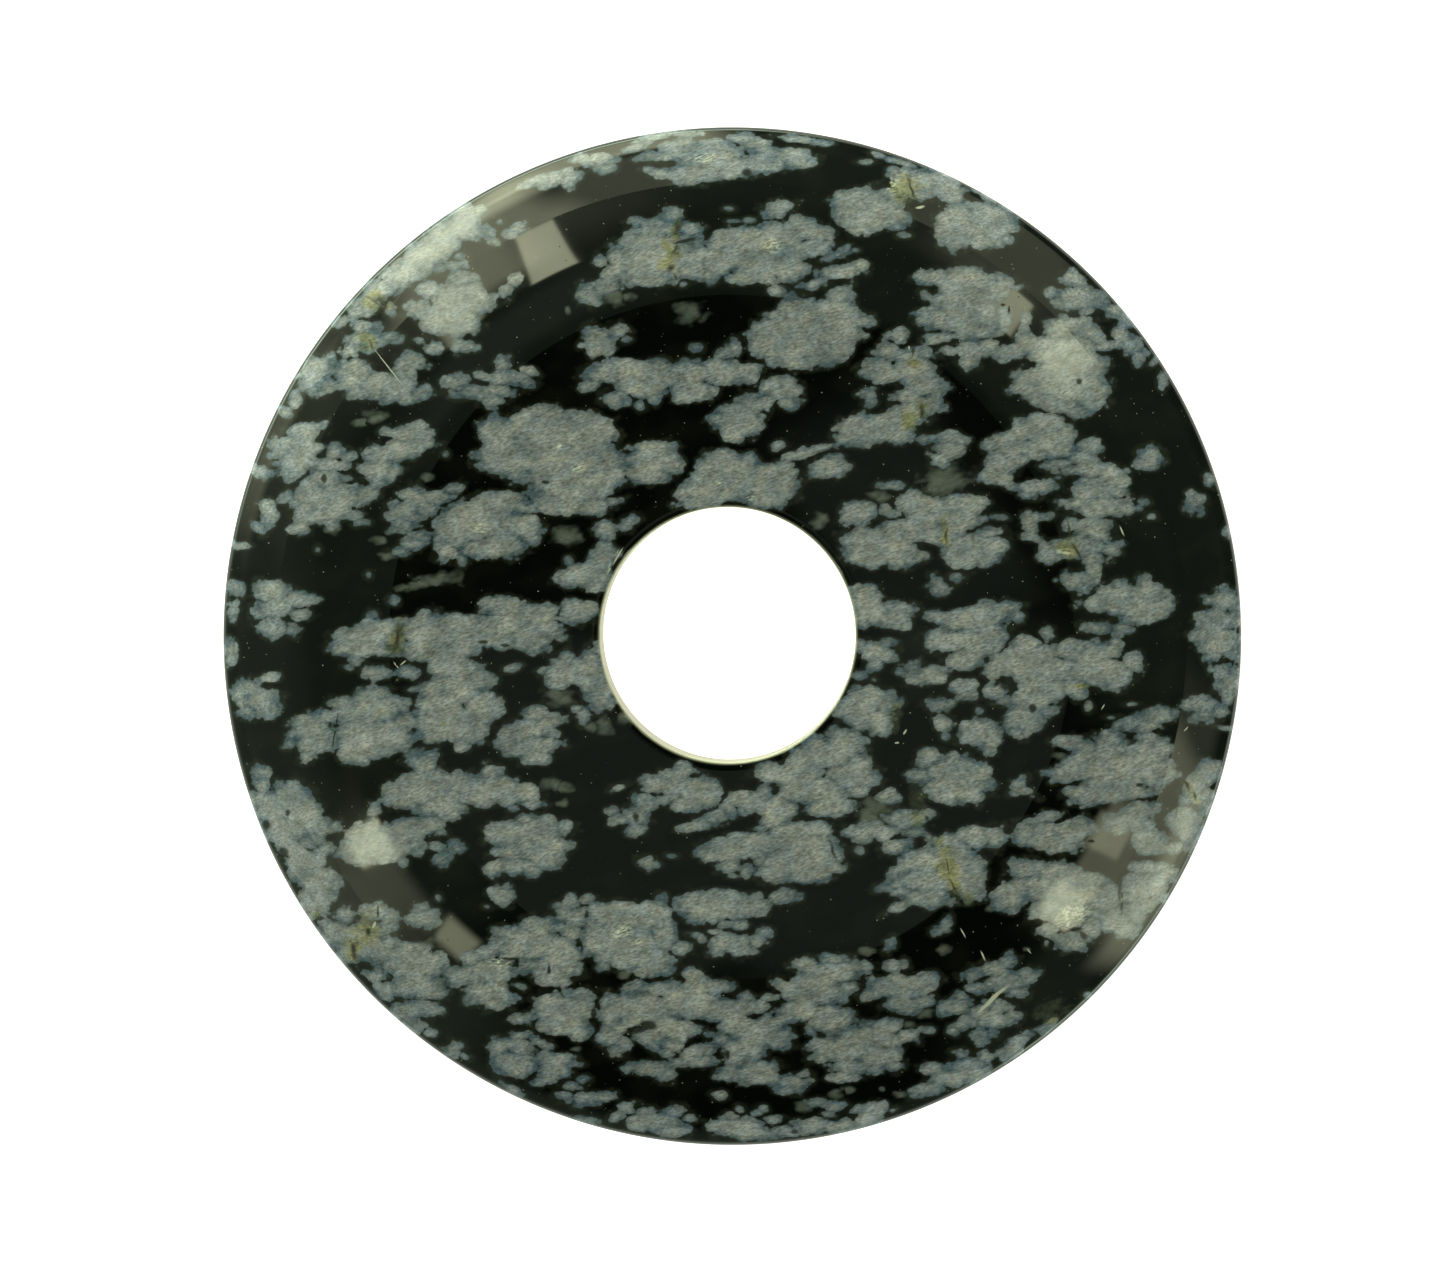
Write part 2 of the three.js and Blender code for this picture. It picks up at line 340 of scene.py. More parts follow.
        (518, 986, 8, 4, -20), (495, 1004, 15, 8), (506, 932, 14, 8), (540, 925, 19, 10),
        (530, 945, 44, 16), (569, 932, 12, 9), (560, 950, 24, 14), (550, 968, 30, 14), (578, 970, 8, 8),
        (555, 980, 17, 8), (418, 948, 20, 8), (503, 998, 15, 12),
    ),
    "land, lower left": lobes(
        (508, 835, 24, 15), (540, 830, 28, 15), (562, 828, 13, 10), (530, 850, 38, 13),
        (545, 860, 20, 12), (520, 865, 24, 10), (497, 868, 16, 8, 20), (532, 870, 16, 9),
        (527, 820, 12, 7), (558, 845, 14, 9), (503, 895, 14, 11), (487, 907, 4, 2.5),
    ),
    "below the hole": lobes(
        (685, 770, 14, 8, -15), (655, 784, 19, 9), (680, 785, 20, 14), (700, 792, 22, 17),
        (705, 790, 20, 14), (690, 805, 24, 9), (675, 775, 16, 9), (665, 800, 10, 5), (612, 812, 8, 5),
        (645, 803, 14, 9), (635, 815, 16, 12), (635, 828, 11, 8), (620, 820, 15, 8), (634, 798, 4, 7),
        (621, 787, 10.5, 4.5, 15), (648, 863, 11, 7.5), (672, 856, 5, 2), (690, 827, 14, 5, 10),
        (712, 818, 20, 7, 15), (730, 810, 10, 8), (705, 825, 16, 6), (734, 799, 9, 9), (725, 850, 28, 15),
        (712, 855, 18, 10), (728, 865, 14, 8), (733, 876, 6, 3), (770, 772, 20, 11), (800, 775, 30, 16),
        (825, 755, 26, 16), (845, 745, 24, 14), (815, 790, 36, 16), (850, 775, 30, 16),
        (830, 805, 26, 13), (795, 790, 20, 14), (855, 790, 18, 10), (800, 760, 16, 12), (860, 762, 12, 8),
        (755, 803, 26, 13), (780, 808, 20, 14), (745, 798, 18, 9), (765, 790, 8, 8), (775, 820, 20, 8),
        (759, 829, 9, 3.5), (795, 840, 32, 20), (815, 830, 18, 10), (790, 860, 34, 18),
        (820, 855, 24, 20), (835, 868, 13, 6), (775, 873, 22, 13), (760, 845, 30, 14), (805, 875, 28, 9),
        (740, 848, 14, 12), (740, 835, 16, 4), (746, 870, 8, 7), (672, 797, 8, 5), (815, 745, 16, 10),
        (840, 735, 14, 8), (823, 772, 10, 8),
    ),
    "right of the hole, lower": lobes(
        (872, 652, 16, 11), (885, 655, 14, 8), (875, 665, 10, 8), (888, 643, 9, 5), (862, 648, 8, 10),
        (857, 676, 8, 6), (874, 680, 2.5, 2), (930, 675, 22, 10), (912, 668, 14, 8), (903, 672, 8, 7),
        (920, 680, 16, 7), (963, 688, 15, 10), (965, 695, 12, 6), (955, 642, 34, 10), (980, 648, 20, 12),
        (965, 660, 20, 12), (865, 700, 24, 15), (885, 705, 18, 14), (870, 718, 26, 14),
        (850, 710, 16, 14), (880, 728, 16, 7), (870, 690, 12, 7), (888, 798, 12, 8),
        (905, 820, 25, 11, 10), (880, 830, 22, 10), (860, 833, 16, 8), (912, 832, 13, 6),
        (925, 814, 9, 6), (865, 840, 9, 4), (860, 851, 6, 4.5), (895, 848, 15, 9), (905, 843, 10, 6),
        (930, 758, 16, 11), (955, 770, 30, 17), (918, 777, 16, 8), (960, 785, 32, 16), (945, 793, 20, 12),
        (970, 795, 20, 10), (975, 775, 16, 16), (937, 705, 14, 7), (979, 711, 3.5, 3.5),
        (944, 724, 11, 8), (946, 736, 5, 4), (980, 732, 22, 14), (968, 737, 13, 8), (990, 735, 13, 14),
        (988, 750, 9, 5), (895, 830, 14, 6),
    ),
    "stained, lower right": lobes(
        (920, 862, 26, 14), (950, 850, 26, 16), (975, 838, 20, 12), (995, 837, 16, 13),
        (925, 880, 36, 13), (885, 888, 14, 7), (960, 870, 28, 18), (970, 890, 16, 12), (900, 870, 12, 6),
        (898, 906, 16, 6, 25), (925, 898, 28, 11), (948, 902, 12, 6), (968, 896, 8, 8), (900, 885, 16, 8),
        (905, 893, 14, 6), (880, 889, 10, 5), (900, 892, 12, 6),
    ),
    "large, right shoulder": lobes(
        (1025, 645, 18, 11), (1010, 662, 24, 10), (1040, 670, 40, 16), (1030, 655, 30, 12),
        (1070, 650, 18, 12), (1095, 655, 20, 16), (1115, 650, 10, 11), (1100, 672, 36, 15),
        (1132, 662, 14, 12), (1118, 682, 16, 10), (1045, 690, 28, 14), (1075, 688, 16, 12),
        (1030, 700, 26, 12), (1025, 720, 24, 14), (1020, 732, 12, 8), (1048, 712, 10, 10),
        (1005, 700, 10, 6), (995, 692, 14, 9), (1089, 706, 4, 5), (1155, 717, 22, 10), (1130, 723, 19, 8),
        (1145, 724, 22, 8), (1165, 712, 12, 7), (1112, 718, 5, 2), (1132, 704, 5, 2), (1200, 705, 17, 9),
        (1205, 715, 16, 8), (1222, 712, 9, 9), (1188, 706, 8, 4), (1046, 634, 8, 7), (995, 668, 16, 10),
    ),
    "right shoulder, lower": lobes(
        (1072, 743, 20, 8), (1110, 745, 22, 14), (1100, 765, 40, 18), (1065, 773, 20, 10),
        (1090, 795, 26, 12), (1115, 785, 36, 18), (1150, 750, 22, 17), (1155, 772, 24, 16),
        (1135, 792, 22, 9), (1140, 765, 28, 18), (1020, 783, 9, 9), (1025, 790, 13, 6, -20),
        (1015, 793, 6, 3), (1040, 820, 22, 7, 12), (1040, 832, 26, 12), (1075, 830, 22, 13, 15),
        (1030, 838, 20, 9), (1060, 843, 24, 12), (1045, 846, 14, 6), (1090, 748, 12, 8),
    ),
    "in the lower right lamp": lobes(
        (1140, 810, 20, 12), (1120, 823, 18, 12), (1135, 822, 18, 12), (1150, 843, 22, 14),
        (1175, 848, 18, 8), (1182, 820, 20, 13), (1190, 832, 16, 12), (1205, 775, 20, 12, 35),
        (1210, 768, 14, 10), (1195, 790, 14, 16), (1205, 800, 10, 18, 10), (1185, 800, 8, 6),
        (1150, 868, 22, 8), (1145, 885, 24, 16), (1165, 875, 12, 10), (1025, 868, 20, 10),
        (1060, 872, 28, 12), (1090, 880, 20, 10), (1040, 888, 40, 12), (1100, 892, 22, 9),
        (1010, 898, 22, 14), (1005, 905, 9, 7), (1033, 912, 8, 10), (1046, 930, 12, 9),
        (1046, 943, 2.5, 3), (1071, 942, 15, 11), (1092, 925, 12, 16), (1068, 915, 24, 14),
        (1117, 920, 20, 16), (1126, 930, 16, 9), (1133, 912, 16, 12), (1150, 905, 12, 10),
        (1104, 902, 22, 12), (1160, 897, 8, 8), (1075, 895, 30, 12), (1048, 910, 20, 12),
        (1098, 915, 12, 10), (1132, 898, 12, 8),
    ),
    "bottom, left of the middle": lobes(
        (571, 903, 10, 8), (587, 899, 9, 5), (557, 905, 5, 3, 20), (572, 916, 14, 9), (575, 923, 9, 5),
        (608, 913, 23, 13), (630, 918, 35, 16), (650, 915, 24, 15), (661, 903, 8, 8), (663, 932, 16, 20),
        (682, 948, 12, 8), (594, 938, 14, 22), (625, 940, 40, 20), (625, 952, 40, 17), (652, 963, 26, 14),
        (605, 965, 9, 5), (664, 962, 10, 8), (580, 995, 18, 8), (548, 1000, 16, 9), (565, 1009, 32, 14),
        (526, 1018, 15, 6, 5), (563, 1023, 28, 13), (579, 1033, 15, 9), (520, 1036, 12, 5),
        (540, 1042, 18, 6, -15), (500, 1047, 13, 10), (520, 1047, 16, 10), (512, 1060, 20, 10),
        (503, 1066, 15, 9), (520, 1068, 22, 9), (555, 1060, 24, 9), (575, 1064, 9, 4),
        (552, 1072, 22, 10), (547, 1079, 14, 7), (538, 1083, 9, 4), (572, 1086, 12, 5), (583, 1080, 8, 6),
        (565, 1095, 10, 4), (585, 1098, 20, 6), (605, 1096, 16, 6), (592, 1103, 9, 4), (578, 1106, 5, 3),
        (510, 1088, 14, 4, -28), (590, 1120, 14, 4, -12),
    ),
    "bottom, below the hole": lobes(
        (700, 905, 26, 14), (690, 910, 18, 8), (720, 905, 30, 18), (727, 924, 8, 4), (745, 905, 24, 13),
        (762, 906, 9, 8), (785, 896, 14, 9), (695, 935, 11, 4, -10), (702, 939, 5, 4), (715, 932, 8, 2.5),
        (727, 944, 17, 12), (715, 948, 9, 8), (741, 925, 9, 5), (765, 932, 9, 6), (756, 942, 12, 7),
        (740, 947, 18, 12), (613, 1001, 12, 8), (636, 988, 13, 8), (668, 990, 22, 10), (692, 976, 10, 9),
        (705, 987, 26, 10), (726, 987, 8, 7), (640, 1008, 40, 16), (690, 1003, 36, 18),
        (722, 1010, 24, 14), (612, 1016, 15, 10), (619, 1028, 9, 10), (632, 1022, 12, 6),
        (607, 1037, 13, 11), (623, 1044, 10, 11), (648, 1035, 20, 9), (672, 1027, 30, 12),
        (680, 1035, 14, 8), (655, 1046, 9, 8), (668, 1053, 9, 9), (672, 1046, 12, 9), (722, 1038, 15, 8),
        (700, 1050, 20, 8, 15), (688, 1057, 10, 6, 10), (632, 1068, 12, 5, 10), (652, 1068, 22, 9),
        (667, 1075, 13, 9), (678, 1063, 10, 6), (704, 1061, 18, 7), (728, 1073, 14, 9), (720, 1096, 7, 5),
        (715, 1094, 4, 2.5), (695, 916, 14, 9), (618, 1050, 10, 7),
    ),
    "bottom, large": lobes(
        (745, 999, 10, 6), (745, 1007, 20, 10), (762, 1005, 8, 4), (769, 1022, 12, 7),
        (760, 1035, 34, 14), (786, 1033, 9, 9), (778, 1045, 15, 6), (745, 1048, 24, 12),
        (740, 1060, 20, 8), (755, 1068, 24, 9), (772, 1066, 8, 6), (793, 1082, 20, 8),
        (803, 1075, 9, 4, 10), (785, 1090, 12, 6), (800, 1087, 9, 8), (760, 1078, 26, 8),
        (740, 1074, 20, 9), (735, 1025, 20, 14),
    ),
    "bottom rim": lobes(
        (628, 1108, 9, 7), (617, 1117, 9, 6), (647, 1112, 12, 6), (675, 1111, 11, 8), (688, 1117, 8, 6),
        (655, 1123, 32, 11), (670, 1131, 22, 8, -5), (722, 1127, 16, 10), (732, 1117, 8, 5),
        (740, 1110, 5, 4), (757, 1113, 6, 4), (764, 1109, 5, 4), (773, 1119, 12, 4.5), (745, 1125, 22, 9),
        (752, 1133, 30, 8), (787, 1131, 20, 7), (815, 1125, 28, 8), (838, 1127, 26, 7, 8),
        (868, 1119, 16, 6, 10), (816, 1102, 9, 5), (834, 1107, 11, 6), (829, 1114, 7, 4),
        (857, 1110, 8, 5), (877, 1110, 16, 9), (866, 1115, 10, 6),
    ),
    "bottom, right of the middle": lobes(
        (803, 964, 15, 7), (833, 960, 16, 6), (860, 967, 13, 8), (828, 972, 34, 12), (790, 986, 16, 9),
        (812, 990, 34, 18), (772, 998, 9, 5, -5), (849, 987, 11, 6), (840, 1001, 8, 5),
        (803, 1010, 28, 12), (787, 1018, 14, 8), (828, 1015, 22, 12), (832, 1022, 24, 14),
        (845, 1022, 15, 12), (812, 1032, 7, 5, -30), (884, 1027, 20, 9), (896, 1024, 9, 7),
        (908, 1035, 14, 7, -10), (868, 1038, 34, 14), (828, 1048, 20, 12), (845, 1050, 30, 14),
        (822, 1057, 14, 7), (878, 1056, 26, 12), (896, 1066, 10, 6), (853, 1067, 30, 9),
        (845, 1076, 17, 7), (835, 1077, 7, 4, 20), (893, 966, 14, 7), (904, 965, 6, 6), (928, 980, 13, 7),
        (935, 978, 6, 6), (883, 984, 17, 8), (872, 995, 14, 6), (903, 988, 30, 14), (926, 1000, 14, 7),
        (903, 1003, 24, 9), (908, 1010, 15, 6), (891, 945, 10, 6, 55), (940, 930, 9, 4.5, 10),
        (947, 922, 8, 5, 55), (784, 984, 12, 7),
    ),
    "lower right rim": lobes(
        (972, 975, 13, 9), (978, 988, 16, 7), (988, 972, 7, 6), (953, 1006, 20, 10), (960, 997, 9, 6),
        (944, 1010, 8, 7), (953, 1030, 6, 7, 60), (966, 1022, 16, 8, 25), (984, 1035, 12, 10),
        (985, 1014, 18, 9), (926, 1030, 8, 4), (931, 1070, 14, 8), (960, 1054, 8, 5), (968, 1065, 22, 9),
        (985, 1058, 8, 7), (948, 1078, 26, 10), (930, 1088, 20, 8, 12), (917, 1094, 8, 4, 20),
        (975, 1073, 16, 9, 20), (1048, 1026, 10, 5, 40), (1020, 1038, 16, 7, 20), (1010, 1050, 15, 9, 30),
        (987, 1060, 5, 8), (1009, 962, 9, 8), (994, 970, 14, 9), (1028, 976, 12, 8), (1008, 982, 22, 12),
        (1017, 991, 14, 8), (990, 984, 10, 6), (998, 1006, 14, 7), (1015, 1016, 10, 5),
        (998, 1022, 20, 9), (992, 1032, 12, 9), (1087, 995, 5, 4),
    ),
}

# Gaps of dark glass inside a snowflake, and the dark seams where two of them met.
GAPS: list[Lobe] = lobes(
    (672, 163, 4, 3), (748, 173, 6, 4), (545, 482, 4, 2), (483, 642, 5, 2), (505, 645, 5, 2),
    (427, 675, 5, 3), (330, 725, 2, 3), (335, 732, 18, 1.0, 80), (266, 825, 4, 5), (284, 852, 5, 5),
    (288, 813, 2.5, 3), (398, 813, 15, 3), (636, 817, 3, 5), (1006, 685, 7, 5), (1033, 708, 4, 5),
    (1140, 785, 4, 2), (1120, 890, 12, 1.8, 90), (394, 935, 5, 3), (549, 970, 2, 4),
    (510, 959, 10, 1.5, -5), (594, 1013, 3, 5), (640, 1029, 14, 4, 20), (648, 1025, 8, 5),
    (728, 1056, 2, 5), (821, 1035, 5, 4), (795, 1132, 4, 2.5), (1122, 902, 12, 1.5, 90), (320, 918, 4, 3),
    (587, 914, 2, 4), (1075, 929, 8, 2), (324, 479, 3, 5), (1133, 742, 7, 3, 20), (684, 241, 10, 2.2, 12),
    (1079, 381, 3, 3), (1069, 333, 5, 1.5, -20),
)

# Snowflakes that lie below the surface and show through the glass as blurred brown shapes.
SUBMERGED: list[Lobe] = lobes(
    (615, 298, 12, 9), (628, 297, 8, 5), (690, 313, 16, 12), (568, 310, 4, 4), (375, 417, 12, 8),
    (360, 422, 10, 5), (428, 477, 8, 4), (331, 528, 10, 8), (388, 556, 10, 5), (380, 541, 9, 5),
    (388, 533, 5, 3), (566, 535, 15, 10), (438, 579, 24, 8), (420, 585, 20, 6, 15), (405, 588, 14, 4, 10),
    (945, 480, 26, 16), (880, 496, 11, 6), (560, 698, 16, 8), (592, 727, 8, 7), (604, 727, 10, 10),
    (625, 718, 10, 8, -40), (564, 787, 10, 6), (552, 785, 12, 8), (561, 803, 7, 5), (868, 815, 14, 12),
    (878, 808, 20, 10), (950, 705, 10, 8), (1125, 745, 9, 8), (372, 822, 8, 6), (1060, 757, 10, 6),
    (820, 520, 10, 10), (424, 945, 18, 8), (848, 1090, 8, 5), (882, 1090, 4, 4), (900, 1094, 7, 4),
    (835, 1094, 10, 6), (803, 1107, 10, 7), (925, 1014, 10, 6), (911, 1024, 7, 4), (1027, 949, 4, 3),
    (625, 974, 9, 5), (867, 950, 9, 5), (945, 950, 8, 5), (990, 909, 5, 4), (578, 1049, 7, 4),
)

# Olive and ochre stains of iron along old fractures.
STAINS: list[Lobe] = lobes(
    (376, 302, 18, 12, -20), (368, 342, 12, 10), (905, 190, 19, 16), (893, 185, 8, 8), (911, 420, 11, 15),
    (921, 411, 8, 13), (948, 868, 13, 37, 19), (940, 846, 9, 14), (896, 717, 7, 18), (1069, 548, 12, 13),
    (1190, 791, 6, 18, 30), (677, 228, 7, 14, -20), (670, 258, 11, 21, -8), (945, 530, 5, 18),
    (397, 640, 8, 25, -18), (1050, 1010, 20, 14), (1082, 686, 16, 3), (444, 724, 3, 3),
    (918, 800, 10, 26), (367, 930, 15, 18), (353, 949, 11, 13), (318, 916, 7, 6), (968, 897, 8, 10),
    (914, 363, 6, 5), (1100, 842, 14, 9),
)

# Pale hearts, where the crystal of a snowflake started to grow.
HEARTS: list[Lobe] = lobes(
    (622, 932, 14, 9), (638, 941, 7, 4), (560, 446, 6, 4), (577, 468, 9, 6), (705, 158, 16, 7),
    (772, 246, 13, 10), (480, 529, 9, 8), (720, 484, 7, 4), (751, 497, 6, 5), (500, 962, 16, 8),
    (893, 185, 10, 10), (1064, 552, 10, 6), (1074, 915, 30, 18, 35),
)

# Fine open cracks and dark pits.
CRACKS: list[Lobe] = lobes(
    (678, 228, 10, 3.2, 68), (671, 268, 6, 4, 80), (675, 249, 12, 1.8, 62), (676, 277, 5, 1.8, -60),
    (913, 351, 8, 2.2, 80), (912, 190, 20, 1.9, -68), (398, 638, 20, 3.2, 72), (1077, 551, 12, 2.0, -58),
    (1069, 530, 11, 1.8, -82), (946, 535, 11, 1.7, 82), (833, 850, 13, 2.0, -74), (927, 818, 5, 2.0, -60),
    (1187, 785, 9, 2.2, -60), (1195, 796, 6, 2.0, -80), (368, 932, 4, 4), (354, 952, 4, 8, 10),
    (378, 913, 1.8, 6), (725, 1054, 6, 2.4, 40), (955, 888, 16, 1.5, -60), (948, 866, 12, 1.1, -80),
    (377, 303, 17, 1.5, -32), (397, 299, 10, 1.4, 45), (371, 345, 9, 1.5, -62), (922, 413, 3, 11),
    (1003, 305, 3, 2), (1009, 310, 1.6, 4), (1091, 842, 5, 2.5),
)

# Chalky scratches and fibres that stand out lighter than the stone.
SCRATCHES: list[Lobe] = lobes(
    (389, 368, 31, 0.7, -52), (1122, 531, 7, 1.1, -64), (992, 1000, 26, 2.6, 43), (905, 732, 4, 1.3, 60),
    (897, 743, 3, 1.2), (920, 207, 6, 1.8, 10), (963, 933, 7, 0.9, -60), (983, 956, 7, 1.1, -65),
    (374, 925, 5, 1.8, 70), (1103, 707, 4, 0.8, 60), (1186, 729, 4, 0.8, 50), (1029, 951, 4, 0.9, -55),
    (613, 562, 18, 1.4, 65), (618, 556, 13, 1.1, 62), (608, 570, 10, 1.1, 68), (909, 348, 1.2, 2.5),
    (396, 665, 5, 0.9, -50), (403, 663, 5, 0.9, 40), (1066, 553, 6, 1.6),
)


@dataclass(frozen=True)
class Mark:
    """A kind of mark on the upper face, and how its ellipses are drawn.

    reach is how far noise shakes an ellipse along its length, its height and the depth, in half widths.
    The mark's strength is 0 where 1 - |q| is at faint and 1 where it is at full, with q the place inside
    the ellipse, so that 1 - |q| is 0 on the ellipse itself and 1 in its middle.
    """

    rows: list[Lobe]
    reach: tuple[float, float, float]
    faint: float
    full: float


MARKS: dict[str, Mark] = {
    "gap": Mark(GAPS, (0.6, 0.6, 0.3), -0.35, 0.45),
    "submerged": Mark(SUBMERGED, (0.9, 0.9, 0.9), -0.2, 0.8),
    "stain": Mark(STAINS, (0.9, 0.9, 0.9), -0.1, 0.5),
    "heart": Mark(HEARTS, (0.0, 0.0, 0.0), 0.0, 0.8),
    "crack": Mark(CRACKS, (0.1, 1.3, 0.3), -0.1, 0.9),
    "scratch": Mark(SCRATCHES, (0.1, 0.7, 0.3), 0.0, 0.6),
}


class Reach(Enum):
    """Where a family of ellipsoids is measured from."""

    BELOW_FACE = "depth below the upper face, so that the cut shape is the one that was read on it"
    SOLID = "the stone's own height"


@dataclass(frozen=True)
class Section:
    """The donut's section, from the hole's wall over the land, the shoulder and the bevel to the edge."""

    rim_radius: float
    thickness: float
    hole_radius: float = 6.25 * MM
    land_radius: float = 16.75 * MM
    bevel_radius: float = 22.3 * MM
    rim_round: float = 0.4 * MM
    hole_round: float = 0.15 * MM
    hole_drift: tuple[float, float] = (-0.17 * MM, 0.11 * MM)
    shoulder_slopes: tuple[float, float] = (math.radians(2.5), math.radians(12))
    bevel_slopes: tuple[float, float] = (math.radians(16), math.radians(36))
    wall_steps: int = 8
    hole_round_steps: int = 6
    land_steps: int = 36
    shoulder_steps: int = 18
    bevel_steps: int = 10
    rim_steps: int = 8
    band_steps: int = 3

    @staticmethod
    def _sloping_arc(start: np.ndarray, run: float, slopes: tuple[float, float], steps: int) -> np.ndarray:
        """Follows a convex arc outwards from start, while its slope goes from one angle to the other.

        The radius of the arc is run / (sin outer - sin inner), and a point at slope s is
        start + radius * (sin s - sin inner, cos s - cos inner).

        Args:
            start: Radius and height of the first point.
            run: How far the arc goes outwards.
            slopes: The slopes at its two ends, in radians.
            steps: The number of its segments.

        Returns:
            steps + 1 points, one a row.
        """
        inner, outer = slopes
        radius = run / (math.sin(outer) - math.sin(inner))
        slope = np.linspace(inner, outer, steps + 1)
        offsets = np.stack([np.sin(slope) - math.sin(inner), np.cos(slope) - math.cos(inner)], axis=1)
        return start + radius * offsets

    def upper(self) -> tuple[np.ndarray, list[int]]:
        """Works out the upper half, from the hole's wall to the start of the straight edge.

        Returns:
            The points as radius and height, and the indices of those on a crease.
        """
        upright = math.pi / 2
        hole = self._sloping_arc(
            np.array([self.hole_radius, self.thickness - self.hole_round]),
            self.hole_round,
            (-upright, 0.0),
            self.hole_round_steps,
        )
        land_run = np.linspace(hole[-1, 0], self.land_radius, self.land_steps + 1)
        land = np.stack([land_run, np.full_like(land_run, self.thickness)], axis=1)
        shoulder = self._sloping_arc(
            land[-1], self.bevel_radius - self.land_radius, self.shoulder_slopes, self.shoulder_steps
        )
        rim_run = self.rim_round * (1 - math.sin(self.bevel_slopes[1]))
        bevel_run = self.rim_radius - rim_run - self.bevel_radius
        bevel = self._sloping_arc(shoulder[-1], bevel_run, self.bevel_slopes, self.bevel_steps)
        rim = self._sloping_arc(bevel[-1], rim_run, (self.bevel_slopes[1], upright), self.rim_steps)
        points = np.concatenate([hole, land[1:], shoulder[1:], bevel[1:], rim[1:]])
        land_edge = self.hole_round_steps + self.land_steps
        return points, [land_edge, land_edge + self.shoulder_steps]

    def loop(self) -> tuple[np.ndarray, list[int]]:
        """Works out the closed section: up the wall, out over the top, down the edge and in under the back.

        Returns:
            The points as radius and height, and the indices of those on a crease.
        """
        upper, creases = self.upper()
        lower = upper[::-1] * (1, -1) + (0, self.thickness)
        edge = np.linspace(upper[-1], lower[0], self.band_steps + 1)[1:-1]
        wall = np.linspace(lower[-1], upper[0], self.wall_steps + 1)[1:-1]
        turned = len(upper) + len(edge)
        mirrored = [turned + len(upper) - 1 - crease for crease in creases]
        return np.concatenate([upper, edge, lower, wall]), creases + mirrored

    def face_height(self, radius: np.ndarray) -> np.ndarray:
        """Gives the height of the upper ground face at a radius, level past its ends."""
        upper, _ = self.upper()
        ground = upper[self.hole_round_steps : len(upper) - self.rim_steps]
        return np.interp(radius, ground[:, 0], ground[:, 1])

    def normals(self, points: np.ndarray) -> np.ndarray:
        """Gives the outward normals of the upper ground face above points.

        The sine of the slope grows evenly with the radius along each arc, and jumps at the creases.
        """
        radius = np.hypot(points[:, 0], points[:, 1])
        crease = 0.001 * MM
        bevel_end = self.rim_radius - self.rim_round * (1 - math.sin(self.bevel_slopes[1]))
        shoulder = [self.land_radius, self.bevel_radius - crease]
        radii = [self.land_radius - crease, *shoulder, self.bevel_radius, bevel_end]
        slopes = [0.0, *self.shoulder_slopes, *self.bevel_slopes]
        sine = np.interp(radius, radii, np.sin(slopes))
        outward = points[:, :2] / radius[:, None]
        return np.column_stack([outward * sine[:, None], np.sqrt(1 - sine**2)])

    def drifted(self, points: np.ndarray) -> np.ndarray:
        """Moves the hole off centre: its wall goes the whole way, and the land less and less outwards."""
        radius = np.hypot(points[:, 0], points[:, 1])
        run = np.clip((radius - self.hole_radius) / (self.land_radius - self.hole_radius), 0, 1)
        share = 1 - run * run * (3 - 2 * run)
        moved = points.copy()
        moved[:, :2] += share[:, None] * np.array(self.hole_drift)
        return moved


